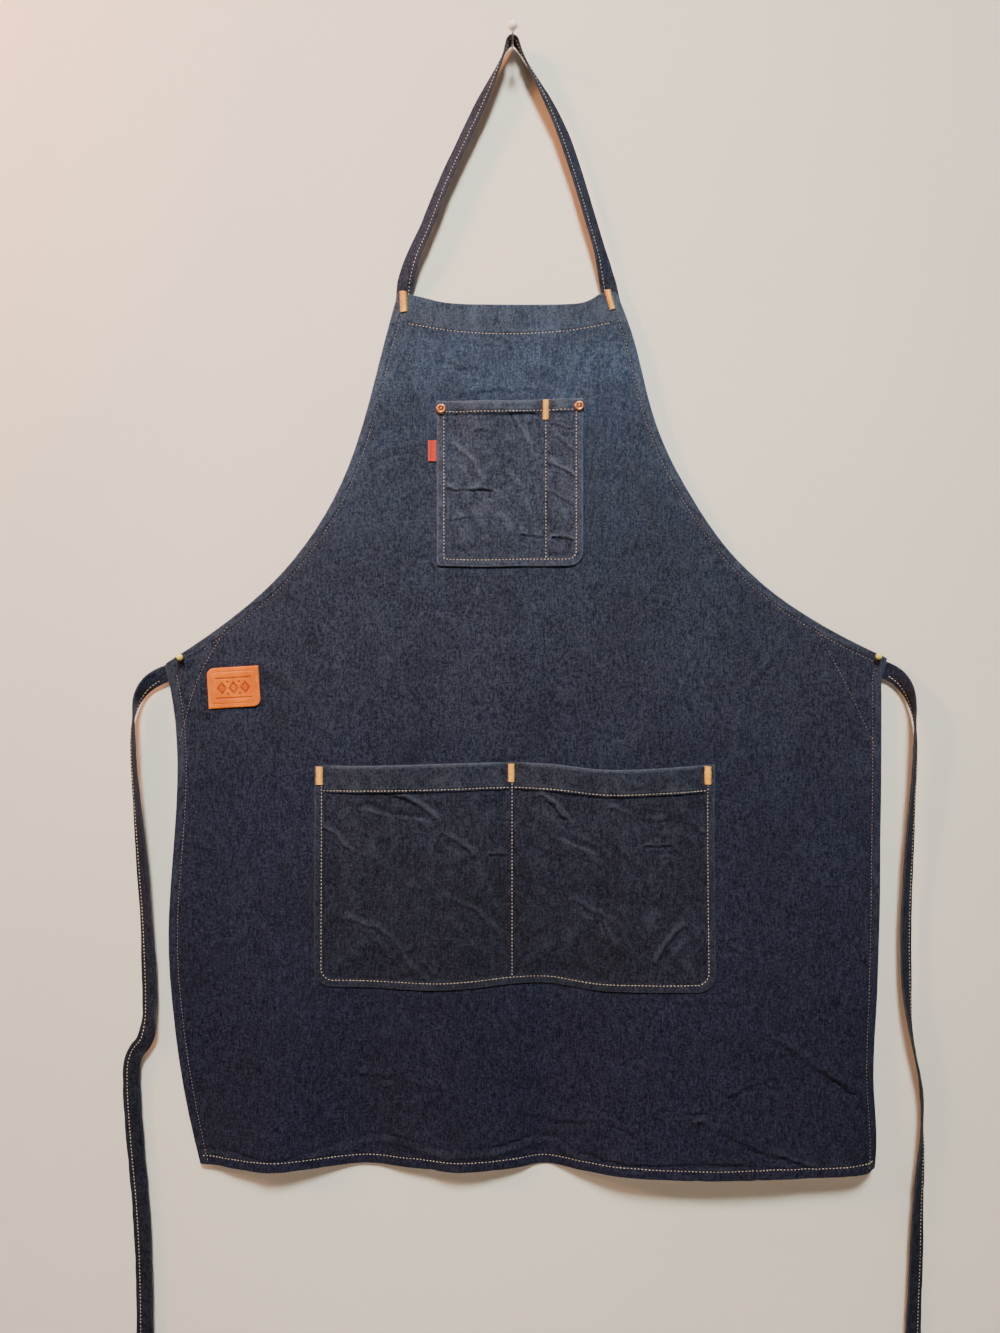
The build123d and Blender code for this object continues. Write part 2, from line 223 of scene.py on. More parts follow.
def mesh_of(name, points, *faces, paint=None, body="apron", node=None, slot=None, wear=None, sharp=None):
    """A piece from its points in mm and its faces, each an array of rows of one length."""
    mesh = bpy.data.meshes.new(name)
    mesh.vertices.add(len(points))
    mesh.vertices.foreach_set("co", (np.asarray(points, float) * MM).astype(np.float32).ravel())
    sizes = np.concatenate([np.full(len(f), f.shape[1]) for f in faces])
    mesh.loops.add(int(sizes.sum()))
    mesh.loops.foreach_set("vertex_index", np.concatenate([f.ravel() for f in faces]).astype(np.int32))
    mesh.polygons.add(len(sizes))
    mesh.polygons.foreach_set("loop_start", (np.cumsum(sizes) - sizes).astype(np.int32))
    mesh.polygons.foreach_set("use_smooth", np.ones(len(sizes), bool))
    mesh.update(calc_edges=True)
    mesh.validate()
    if sharp:
        mesh.set_sharp_from_angle(angle=np.radians(sharp))
    if wear is not None:
        values = mesh.attributes.new("wear", "FLOAT", "POINT")
        values.data.foreach_set("value", np.asarray(wear, np.float32).ravel())
    made = bpy.data.objects.new(name, mesh)
    bpy.context.scene.collection.objects.link(made)
    mesh.materials.append(paint)
    if body:
        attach(made, body)
    for n in [node] if isinstance(node, str) else node or []:
        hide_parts(n)
    return made


def grid_faces(rows, cols, start=0, flip=False):
    i = np.arange(rows * cols).reshape(rows, cols) + start
    quads = np.stack([i[:-1, :-1], i[:-1, 1:], i[1:, 1:], i[1:, :-1]], -1).reshape(-1, 4)
    return quads[:, ::-1] if flip else quads


def shell_of(name, front, back, wear=None, **facts):
    """A closed piece from a grid of front points and one of back points. Rows run down and columns right,
    as seen from the front."""
    rows, cols = front.shape[:2]
    n = rows * cols
    i = np.arange(n).reshape(rows, cols)
    ring = np.concatenate([i[0, :-1], i[:-1, -1], i[-1, :0:-1], i[:0:-1, 0]])
    rim = np.stack([ring, np.roll(ring, -1), np.roll(ring, -1) + n, ring + n], -1)[:, ::-1]
    faces = np.concatenate([grid_faces(rows, cols)[:, ::-1], grid_faces(rows, cols, n), rim])
    points = np.concatenate([front.reshape(-1, 3), back.reshape(-1, 3)])
    if wear is not None:
        wear = np.concatenate([wear.ravel(), wear.ravel() * 0.6])
    return mesh_of(name, points, faces, wear=wear, **facts)


def slab(name, x, z, front, back, wear, **facts):
    """A closed piece over a grid of x and z, between two distances out from the wall."""
    return shell_of(name, np.stack([x, -front, z], -1), np.stack([x, -back, z], -1), wear, **facts)


def rolled(d, half):
    """Half the thickness at a distance d from a rounded edge."""
    return half * np.sqrt(1 - 0.88 * (1 - np.clip(d / (1.1 * half), 0, 1)) ** 2)


def strands(centres, ways, ups, length, radius, rise):
    """Short bent lengths of thread: the points and faces of all of them."""
    n = len(centres)
    across = np.cross(ways, ups)
    along = np.array([-1, -0.82, -0.4, 0, 0.4, 0.82, 1.0])
    lift = np.array([-1.5, -0.35, 0.7, 1.0, 0.7, -0.35, -1.5])
    wide = np.array([0.35, 0.8, 1.0, 1.0, 1.0, 0.8, 0.35])
    angles = np.arange(6) * np.pi / 3
    ring = np.stack([np.cos(angles), np.sin(angles)], 1)
    points = (
        centres[:, None, None]
        + ways[:, None, None] * (along * 0.5)[None, :, None, None] * np.reshape(length, (-1, 1, 1, 1))
        + ups[:, None, None] * (lift * rise)[None, :, None, None]
        + radius * wide[None, :, None, None]
        * (across[:, None, None] * ring[None, None, :, :1] + ups[:, None, None] * ring[None, None, :, 1:])
    )
    k = len(along)
    ids = np.arange(n * k * 6).reshape(n, k, 6)
    nxt = np.roll(ids, -1, axis=2)
    sides = np.stack([ids[:, :-1], ids[:, 1:], nxt[:, 1:], nxt[:, :-1]], -1).reshape(-1, 4)
    ends = np.concatenate([ids[:, 0], ids[:, -1, ::-1]])
    return points.reshape(-1, 3), sides, ends


def sewn(runs, pitch=3.45, length=1.85, radius=0.38, rise=0.2, seed=1):
    """Stitches along runs of (points, outward directions), as the arguments of mesh_of."""
    points, sides, ends, start = [], [], [], 0
    r = np.random.default_rng(seed)
    for line, ups in runs:
        s = arc(line)
        n = int(s[-1] / pitch)
        at = (np.arange(n) + 0.5) * s[-1] / n + r.normal(0, 0.12, n)
        pick = lambda a, w: np.stack([np.interp(w, s, a[:, k]) for k in range(3)], 1)
        way = pick(line, at + 0.6) - pick(line, at - 0.6)
        way = unit(way + r.normal(0, 0.05, way.shape))
        up = square_to(pick(ups, at), way)
        p, q, e = strands(pick(line, at), way, up, length + r.normal(0, 0.12, n), radius, rise)
        points.append(p), sides.append(q + start), ends.append(e + start)
        start += len(p)
    return [np.concatenate(points), np.concatenate(sides), np.concatenate(ends)]


def turned(profile, at, sides=48):
    """A round piece about an axis along Y from (radius, y) points. It starts and ends on the axis."""
    angles = np.arange(sides) * 2 * np.pi / sides
    r, y = np.array(profile[1:-1], float).T
    rings = np.stack([
        at[0] + r[:, None] * np.cos(angles), np.broadcast_to(y[:, None], (len(r), sides)),
        at[1] + r[:, None] * np.sin(angles),
    ], -1).reshape(-1, 3)
    points = np.vstack([rings, [at[0], profile[0][1], at[1]], [at[0], profile[-1][1], at[1]]])
    i = np.arange(len(rings)).reshape(len(r), sides)
    j = np.roll(i, -1, axis=1)
    quads = np.stack([i[:-1], i[1:], j[1:], j[:-1]], -1).reshape(-1, 4)
    top = np.stack([np.full(sides, len(rings)), i[0], j[0]], -1)
    low = np.stack([np.full(sides, len(rings) + 1), j[-1], i[-1]], -1)
    return [points, quads, np.concatenate([top, low])]


def joined(parts):
    """Several lists of points and faces as one."""
    points, groups, start = [], [], 0
    for p, *faces in parts:
        points.append(p)
        groups += [f + start for f in faces]
        start += len(p)
    return [np.concatenate(points), *groups]


# ---------------------------------------------------------------- materials


class Paint:
    """A material and short names for the nodes that it's made of. Sizes are in mm."""

    def __init__(self, name, rough=0.8, **sockets):
        self.material = bpy.data.materials.new(name)
        self.material.use_nodes = True
        self.tree = self.material.node_tree
        self.shader = self.tree.nodes["Principled BSDF"]
        self.place = self.node("TexCoord").outputs["Object"]
        self.set("Roughness", rough)
        for socket, value in sockets.items():
            self.set(socket.replace("_", " "), value)

    def set(self, socket, value):
        self.put(self.shader.inputs[socket], value)

    def put(self, socket, value):
        if isinstance(value, bpy.types.NodeSocket):
            self.tree.links.new(value, socket)
        else:
            socket.default_value = (*value, 1) if socket.type == "RGBA" else value

    def node(self, kind, inputs=(), **properties):
        made = self.tree.nodes.new("ShaderNode" + kind)
        for key, value in properties.items():
            setattr(made, key, value)
        for key, value in dict(inputs).items():
            self.put(made.inputs[key], value)
        return made

    def math(self, operation, a, b=0.0, clamp=False):
        return self.node("Math", {0: a, 1: b}, operation=operation, use_clamp=clamp).outputs[0]

    def weighed(self, *terms):
        """The sum of (value, weight) terms."""
        total, *rest = (self.math("MULTIPLY", value, weight) for value, weight in terms)
        for term in rest:
            total = self.math("ADD", total, term)
        return total

    def scaled(self, stretch, turn=(0, 0, 0)):
        made = self.node("Mapping", {"Vector": self.place, "Scale": stretch, "Rotation": turn})
        return made.outputs[0]

    def noise(self, size, stretch=(1, 1, 1), detail=2.0, rough=0.5):
        inputs = {"Vector": self.scaled(stretch), "Scale": 1000 / size, "Detail": detail, "Roughness": rough}
        return self.node("TexNoise", inputs).outputs["Fac"]

    def span(self, value, low, high, to_low=0.0, to_high=1.0):
        inputs = {"Value": value, "From Min": low, "From Max": high, "To Min": to_low, "To Max": to_high}
        return self.node("MapRange", inputs).outputs[0]

    def mix(self, share, a, b, kind="MIX"):
        made = self.node("Mix", data_type="RGBA", blend_type=kind)
        for key, value in ((0, share), (6, a), (7, b)):
            self.put(made.inputs[key], value)
        return made.outputs[2]

    def ramp(self, value, yarn_and_light_stops):
        made = self.node("ValToRGB", {0: value})
        for k, (at, colour) in enumerate(yarn_and_light_stops):
            stop = made.color_ramp.elements[k] if k < 2 else made.color_ramp.elements.new(at)
            stop.position, stop.color = at, (*colour, 1)
        return made.outputs[0]

    def wear(self):
        return self.node("Attribute", attribute_name="wear").outputs["Fac"]

    def bump(self, height, distance, strength=1.0, on=None):
        inputs = {"Height": height, "Distance": distance * MM, "Strength": strength}
        if on is not None:
            inputs["Normal"] = on
        return self.node("Bump", inputs).outputs[0]

    def height_z(self):
        return self.node("SeparateXYZ", {0: self.place}).outputs[2]


def denim(name, yarn_and_light_stops, worn=0.5, rough=0.86):
    """Indigo twill. Each stop is a height in metres and the colours of the dark and the pale yarns there. The
    change from stop to stop is painted light: paler high up as a painted highlight of the overhead lamp's
    sheen, and darker lower down as painted shade.
    """
    p = Paint(name, rough, Sheen_Weight=0.01, Sheen_Roughness=0.5, Specular_IOR_Level=0.06)
    low, high = yarn_and_light_stops[0][0] - 0.01, yarn_and_light_stops[-1][0] + 0.01
    uneven = p.span(p.noise(80), 0.2, 0.8, -0.035, 0.035)
    # Painted light: this ramp over height makes the cloth paler high up, a painted highlight of the overhead
    # lamp's sheen, and darker lower down, painted shade.
    height = p.span(p.math("ADD", p.height_z(), uneven), low, high)
    base, pale = (p.ramp(height, [((z - low) / (high - low), pair[k]) for z, *pair in yarn_and_light_stops]) for k in (0, 1))
    shade = p.span(p.weighed((p.noise(70, (1, 1, 0.7), 2), 0.5), (p.noise(17), 0.5)), 0.36, 0.64, 0.0, 0.5)
    base = p.mix(shade, base, (0.0045, 0.0042, 0.0055))
    pale = p.mix(shade, pale, p.mix(0.55, pale, (0.010, 0.009, 0.010)))
    slub = p.noise(1.7, (1, 1, 0.20), 2, 0.6)
    weft = p.noise(1.9, (0.4, 1, 1), 2, 0.6)
    fleck = p.noise(1.9, (1, 1, 0.8), 3, 0.75)
    twill = p.node("TexWave", {
        "Vector": p.scaled((1, 1, 1), (0, np.radians(-32), 0)), "Scale": 300.0, "Distortion": 1.2,
        "Detail": 1.0, "Detail Scale": 0.7,
    }, wave_type="BANDS", bands_direction="X").outputs["Fac"]
    yarns = p.weighed((slub, 0.36), (weft, 0.26), (fleck, 0.76), (twill, 0.10))
    colour = p.mix(p.span(yarns, 0.63, 0.91), base, p.mix(0.03, pale, (0.20, 0.22, 0.26)))
    wear = p.math("MULTIPLY", p.wear(), p.span(fleck, 0.3, 0.65, 0.55, 1.25), True)
    colour = p.mix(p.math("MULTIPLY", wear, worn), colour, p.mix(0.5, pale, (0.16, 0.19, 0.23)))
    p.set("Base Color", colour)
    p.set("Roughness", p.span(fleck, 0.3, 0.7, rough - 0.06, rough + 0.06))
    p.set("Normal", p.bump(yarns, 0.5, 0.6, p.bump(p.weighed((twill, 0.5), (fleck, 1.0)), 0.25, 0.5)))
    return p.material


# Painted light on the panel: palest and bluest on the bib as a painted highlight of the overhead lamp's
# sheen, darker towards the hem as painted shade, and a little darker again at the bib's top.
DENIM = denim("denim_panel", [
    (-1.00, (0.0032, 0.0034, 0.0100), (0.0245, 0.0250, 0.0480)),
    (-0.75, (0.0052, 0.0068, 0.0165), (0.0330, 0.0365, 0.0620)),
    (-0.62, (0.0080, 0.0108, 0.0220), (0.0430, 0.0480, 0.0700)),
    (-0.45, (0.0114, 0.0169, 0.0334), (0.0500, 0.0600, 0.085)),
    (-0.37, (0.0138, 0.0222, 0.0450), (0.0610, 0.0770, 0.112)),
    (-0.32, (0.0185, 0.0315, 0.0630), (0.0800, 0.1100, 0.157)),
    (-0.28, (0.0150, 0.0240, 0.0460), (0.0660, 0.0860, 0.120)),
])
# Painted light on the pockets: paler on the chest pocket as a painted highlight and darker on the waist
# pocket as painted shade, as on the panel.
POCKET_DENIM = denim("denim_pocket", [
    (-0.83, (0.0042, 0.0046, 0.0100), (0.0270, 0.0280, 0.0450)),
    (-0.44, (0.0136, 0.0177, 0.0314), (0.0650, 0.0775, 0.111)),
])
# Painted light on the strap and ties: paler up at the strap and darker down the ties, painted shade.
TAPE_DENIM = denim("denim_tape", [
    (-1.10, (0.0045, 0.0050, 0.0110), (0.022, 0.023, 0.036)),
    (-0.30, (0.0080, 0.0098, 0.0200), (0.042, 0.047, 0.070)),
], 0.35)


def thread_paint(name, colour, dark, rough=0.6):
    p = Paint(name, rough, Sheen_Weight=0.2, Sheen_Roughness=0.4)
    twist = p.noise(0.5, detail=1)
    tone = p.noise(9)
    p.set("Base Color", p.mix(p.span(p.math("ADD", twist, tone), 0.7, 1.3), dark, colour))
    p.set("Normal", p.bump(twist, 0.15, 0.6))
    return p.material


THREAD = thread_paint("cream_thread", (0.66, 0.57, 0.39), (0.40, 0.34, 0.23))
TAN_THREAD = thread_paint("tan_thread", (0.30, 0.225, 0.15), (0.13, 0.10, 0.07))
GOLD = thread_paint("gold_thread", (1.0, 0.52, 0.045), (0.62, 0.24, 0.012), 0.35)


def leather_paint():
    p = Paint("tan_leather", 0.6, Specular_IOR_Level=0.25)
    grain = p.node("TexVoronoi", {"Vector": p.place, "Scale": 900.0, "Randomness": 1.0}).outputs["Distance"]
    cloud = p.noise(14, detail=3)
    pores = p.noise(0.8, detail=3)
    base = p.mix(p.span(cloud, 0.3, 0.7), (0.62, 0.120, 0.002), (0.82, 0.190, 0.005))
    base = p.mix(p.span(pores, 0.42, 0.62, 0.25, 0.0), base, (0.28, 0.05, 0.004))
    p.set("Base Color", p.mix(p.wear(), base, (0.25, 0.016, 0.003)))
    p.set("Roughness", p.span(pores, 0.3, 0.7, 0.45, 0.65))
    p.set("Normal", p.bump(grain, 0.12, 0.5, p.bump(pores, 0.12, 0.5)))
    return p.material


def copper_paint():
    p = Paint("copper_rivet", 0.38, Metallic=0.85)
    tarnish = p.noise(2.2, detail=4)
    base = p.mix(p.span(tarnish, 0.35, 0.65), (0.78, 0.34, 0.13), (0.40, 0.14, 0.05))
    p.set("Base Color", p.mix(p.wear(), base, (0.10, 0.035, 0.015)))
    p.set("Roughness", p.span(tarnish, 0.3, 0.7, 0.28, 0.55))
    p.set("Normal", p.bump(p.noise(0.5), 0.06, 0.4))
    return p.material


def tab_paint():
    p = Paint("rust_ribbon", 0.6, Sheen_Weight=0.05, Specular_IOR_Level=0.2)
    rib = p.node("TexWave", {
        "Vector": p.place, "Scale": 420.0, "Distortion": 0.4}, bands_direction="Z").outputs["Fac"]
    tone = p.noise(1.2, (1, 1, 2.5), 3)
    base = p.mix(p.span(tone, 0.3, 0.7), (0.40, 0.020, 0.010), (0.55, 0.032, 0.014))
    p.set("Base Color", p.mix(p.math("MULTIPLY", p.wear(), 0.5), base, (0.60, 0.10, 0.05)))
    p.set("Normal", p.bump(rib, 0.12, 0.6))
    return p.material


def head_paint(name, colour, shade):
    p = Paint(
        name, 0.28, Coat_Weight=0.35, Coat_Roughness=0.15, Subsurface_Weight=0.1, Subsurface_Scale=0.002)
    cloud = p.noise(3.5, detail=3)
    scuff = p.noise(0.7, (1, 1, 3), 3)
    base = p.mix(p.span(cloud, 0.35, 0.7), shade, colour)
    p.set("Base Color", p.mix(p.span(scuff, 0.6, 0.75, 0.0, 0.4), base, shade))
    p.set("Roughness", p.span(scuff, 0.4, 0.7, 0.2, 0.42))
    p.set("Normal", p.bump(cloud, 0.1, 0.3))
    return p.material


def steel_paint():
    p = Paint("steel_wire", 0.3, Metallic=1.0)
    drawn = p.noise(0.35, (1, 0.05, 1), 2)
    p.set("Base Color", p.mix(drawn, (0.36, 0.36, 0.37), (0.62, 0.61, 0.60)))
    p.set("Roughness", p.span(drawn, 0.3, 0.7, 0.22, 0.42))
    p.set("Normal", p.bump(drawn, 0.03, 0.5))
    return p.material


LEATHER, COPPER, RUST, STEEL = leather_paint(), copper_paint(), tab_paint(), steel_paint()
WHITE = head_paint("white_plastic", (0.93, 0.91, 0.88), (0.86, 0.83, 0.79))
YELLOW = head_paint("yellow_plastic", (0.90, 0.78, 0.10), (0.75, 0.60, 0.06))

# ---------------------------------------------------------------- the panel's outline and its depth


def panel_outline():
    """The left and right edges of the CAD panel from top to bottom, and its bottom edge, in x and z."""
    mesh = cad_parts["body_panel"].data
    co = np.array([v.co for v in mesh.vertices]) / MM
    front = co[:, 1].min() + 0.05
    edges = {}
    for face in mesh.polygons:
        if all(co[v, 1] < front for v in face.vertices):
            ids = [(round(co[v, 0], 2), round(co[v, 2], 2)) for v in face.vertices]
            edges.update(dict.fromkeys(zip(ids, ids[1:] + ids[:1])))
    follow = {a: b for a, b in edges if (b, a) not in edges}
    best = []
    while follow:
        at, loop = next(iter(follow)), []
        while at in follow:
            loop.append(at)
            at = follow.pop(at)
        best = max(best, loop, key=len)
    loop = np.array(best)
    places = (-114, -247), (102, -246), (357, -1113), (-310, -1111)
    corners = [int(np.argmin(np.hypot(*(loop - c).T))) for c in places]
    turns = [np.roll(loop, -corners[k], axis=0) for k in range(4)]
    cut = lambda k, n: turns[k][: (corners[n] - corners[k]) % len(loop) + 1]
    if len(cut(0, 1)) > len(cut(1, 0)):  # the loop runs the other way round
        right, low, left = cut(2, 1)[::-1], cut(3, 2)[::-1], cut(0, 3)
    else:
        right, low, left = cut(1, 2), cut(2, 3), cut(3, 0)[::-1]
    return left, right, low[::-1]


left_edge, right_edge, low_edge = panel_outline()


class Side:
    """One side of the panel: its x at a height, its length down to there, and its slope."""

    def __init__(self, edge, inward):
        fine = even(edge, 2.0)
        self.z, self.x, self.s = fine[::-1, 1], fine[::-1, 0], arc(fine)[::-1]
        slope = np.gradient(self.x, self.z)
        self.slant = blur(np.sqrt(1 + slope**2), 6)
        self.inward = inward

    def at(self, z, d=0.0):
        return np.interp(z, self.z, self.x) + self.inward * d * np.interp(z, self.z, self.slant)

    def distance(self, x, z):
        return self.inward * (x - np.interp(z, self.z, self.x)) / np.interp(z, self.z, self.slant)

    def along(self, z):
        return np.interp(z, self.z, self.s)


LEFT, RIGHT = Side(left_edge, 1), Side(right_edge, -1)
low_z = lambda x: np.interp(x, low_edge[:, 0], low_edge[:, 1])

CLOTH = 1.2
FRONT = 9.0  # how far the panel's front stands from the wall where it hangs flat
SEAM = 9.0
HEM = 10.0
BIB_HEM_Z = -289.0
BIB_TOP = spline([
    (-114, -247), (-103, -248.2), (-88, -251.5), (-72, -255.5), (-52, -257.6), (-20, -258.3), (20, -258.4),
    (56, -257.8), (70, -256.2), (79, -252.5), (87, -247.6), (95, -246.2), (102, -246),
])
top_z = lambda x: np.interp(x, BIB_TOP[:, 0], BIB_TOP[:, 1])
BIB_SEAM = spline([(-104, -277.5), (-57, -285), (0, -287.5), (58, -284), (97, -277)])
bib_seam_z = lambda x: np.interp(x, BIB_SEAM[:, 0], BIB_SEAM[:, 1])
LEFT_SEAM = [(-282, -576), (-312, -630), (-331, -694)]
RIGHT_SEAM = [(299, -575), (333, -640), (361, -700)]
CORNERS = [(-340, -618), (367, -612)]  # where the ties start

# How far the hem stands from the wall along its length
HEM_WAVE = spline([
    (-330, 7), (-310, 8), (-272, 19), (-236, 28), (-196, 18), (-150, 5), (-100, 14), (-50, 24), (0, 14),
    (32, 3), (70, 18), (112, 31), (185, 36), (247, 34), (345, 24), (357, 13), (380, 10),
])

PANEL_CREASES = [
    (3.0, 1.6, [(206, -889), (230, -908)]),
    (3.2, 2.6, [(259, -986), (298, -1016), (349, -1046)]),
    (3.0, 1.6, [(210, -1038), (254, -1022)]),
    (3.0, 2.0, [(144, -1051), (195, -1055), (236, -1076)]),
    (3.2, 2.4, [(180, -1062), (240, -1091), (290, -1104)]),
    (4.0, 0.9, [(162, -952), (236, -952)]),
    (2.6, 1.6, [(-157, -1022), (-132, -1035), (-122, -1037)]),
    (2.6, 1.6, [(-144, -1025), (-107, -1029), (-72, -1037)]),
    (3.2, 1.5, [(10, -1064), (47, -1073), (86, -1066), (121, -1077)]),
    (2.4, 0.9, [(-149, -943), (-116, -946)]),
    (5.0, 1.1, [(60, -600), (95, -640), (110, -690)]),
    (6.0, 1.0, [(-150, -560), (-120, -610), (-112, -680)]),
    (7.0, 1.0, [(-262, -620), (-215, -650), (-180, -700)]),
    (5.0, 1.2, [(276, -590), (240, -640), (228, -700)]),
    (5.0, 1.0, [(82, -300), (64, -330), (58, -352)]),
    (5.0, 1.0, [(-90, -300), (-70, -318), (-40, -326)]),
    (3.0, 0.9, [(-50, -349), (-20, -346), (24, -345)]),
    (3.0, 0.9, [(86, -330), (84, -380), (78, -440)]),
    (4.0, 0.9, [(-250, -740), (-214, -790), (-206, -850)]),
    (4.0, 1.0, [(215, -760), (228, -830), (216, -900)]),
]
# The ridge that the hem's fold raises above its seam
HEM_LINE = spline([
    (-311, -1094), (-274, -1096), (-237, -1102), (-186, -1092), (-129, -1082), (-72, -1091), (-18, -1091),
    (30, -1085), (71, -1098), (111, -1103), (190, -1100), (250, -1104), (289, -1108), (350, -1104),
])


def from_sides(x, z):
    """How far inside the panel's nearer side a place is."""
    return np.minimum(LEFT.distance(x, z), RIGHT.distance(x, z))


def calm(x, z):
    """0 near the bib's corners and the ties, where the layers lie flat, and 1 elsewhere."""
    flat = smooth((-262 - z) / 60)
    for cx, cz in CORNERS:
        flat = flat * smooth((np.hypot(x - cx, z - cz) - 18) / 70)
    return flat


def base_out(x, z):
    """How far the panel's cloth stands from the wall, without its small creases."""
    share = np.clip((-800 - z) / 312, 0, 1.2) ** 1.6
    wave = np.interp(x, HEM_WAVE[:, 0], HEM_WAVE[:, 1])
    soft = 1.9 * noise(x / 85 + 3, z / 150, 21) + 0.9 * noise(x / 38, z / 60 + 5, 22)
    drape = 1.3 * noise(x / 46 + 9, z / 320, 23) * smooth((-640 - z) / 200)
    flat = FRONT - CLOTH / 2 + calm(x, z) * (soft + drape)
    return flat * (1 - share) + np.maximum(wave + 0.5 * soft, 2.0) * share


def seam_relief(d, s, seed, band=SEAM):
    """The front of a hem: a full roll, the groove of its seam, and puckers that die out inwards."""
    roping = noise(s / 7.5 + 0.35 * d, d / 9, seed) + 0.5 * noise(s / 3.6 + 0.5 * d, d / 9, seed + 1)
    roll = 0.28 * np.sin(np.pi * np.clip(d / band, 0, 1)) + 0.26 * roping * smooth(d / 3) * (d < band)
    groove = -0.42 * bell((d - band) / 0.95)
    inside = np.clip(d - band, 0, None)
    pull = 0.34 * noise(s / 6.5, inside / 16, seed + 2) * bell(inside / 13) * smooth(inside / 2)
    return roll + groove + pull


def fine_relief(x, z):
    """The panel's hems and the seams on it, with the puckers along them."""
    left, right = LEFT.distance(x, z), RIGHT.distance(x, z)
    low, high, sides = z - low_z(x), top_z(x) - z, np.minimum(left, right)
    near = 45  # a seam's pull is gone this far from its edge
    total = seam_relief(left, LEFT.along(z), 31) * (left < near)
    total = total + seam_relief(right, RIGHT.along(z), 41) * (right < near)
    total = total + seam_relief(low, x, 51) * (low < near) * smooth(sides / 8)
    bib = top_z(x) - bib_seam_z(x)
    pucker = noise(x / 9, z / 60, 61) * 0.34 + noise(x / 4.2, z / 50, 62) * 0.22
    full = np.sin(np.pi * np.clip(high / np.maximum(bib, 5), 0, 1))
    bib_hem = pucker * full - 0.5 * bell((high - bib) / 1.1) + 0.3 * full**0.5
    total = total + bib_hem * smooth(sides / 9)
    total = total + 0.25 * noise(x / 7, (high - bib) / 16, 63) * bell((high - bib) / 14) * (high > bib)
    for seam in (LEFT_SEAM, RIGHT_SEAM):
        t = away(x, z, seam)
        bank = 0.3 * bell((t - 3.5) / 2.5) * (0.6 + 0.6 * noise(x / 6, z / 6, 64))
        total = total - 0.45 * bell(t / 1.1) + bank
    return total


def crease_relief(x, z):
    """The creases and crumples between the panel's hems, and the ridge above its bottom one."""
    soft = ruffle(x / 26, z / 22, 71) * 0.45 + ruffle(x / 9, z / 11, 74) * 0.20
    low = smooth((-840 - z) / 200)
    soft = soft * (0.8 + 0.6 * low) - (0.6 + 1.3 * low) * crumple(x + 0.4 * z, z - 0.3 * x, 46, 77)
    ridge = np.interp(x, HEM_LINE[:, 0], HEM_LINE[:, 1]) - z + 0.9 * noise(x / 7, z / 9, 79)
    ridge = 2.5 * bell((ridge - 4.8) / 3.3) + 0.7 * bell((ridge + 4.5) / 3.6) - 2.3 * bell(ridge / 1.3)
    ridge = ridge * (0.75 + 0.5 * noise(x / 42, z / 42, 78)) * smooth((z - low_z(x) - 8) / 4)
    edge = from_sides(x, z)
    soft = (soft + creases(x, z, PANEL_CREASES)) * smooth((edge - 6) / 12) * calm(x, z)
    return soft + ridge * smooth(edge / 12)


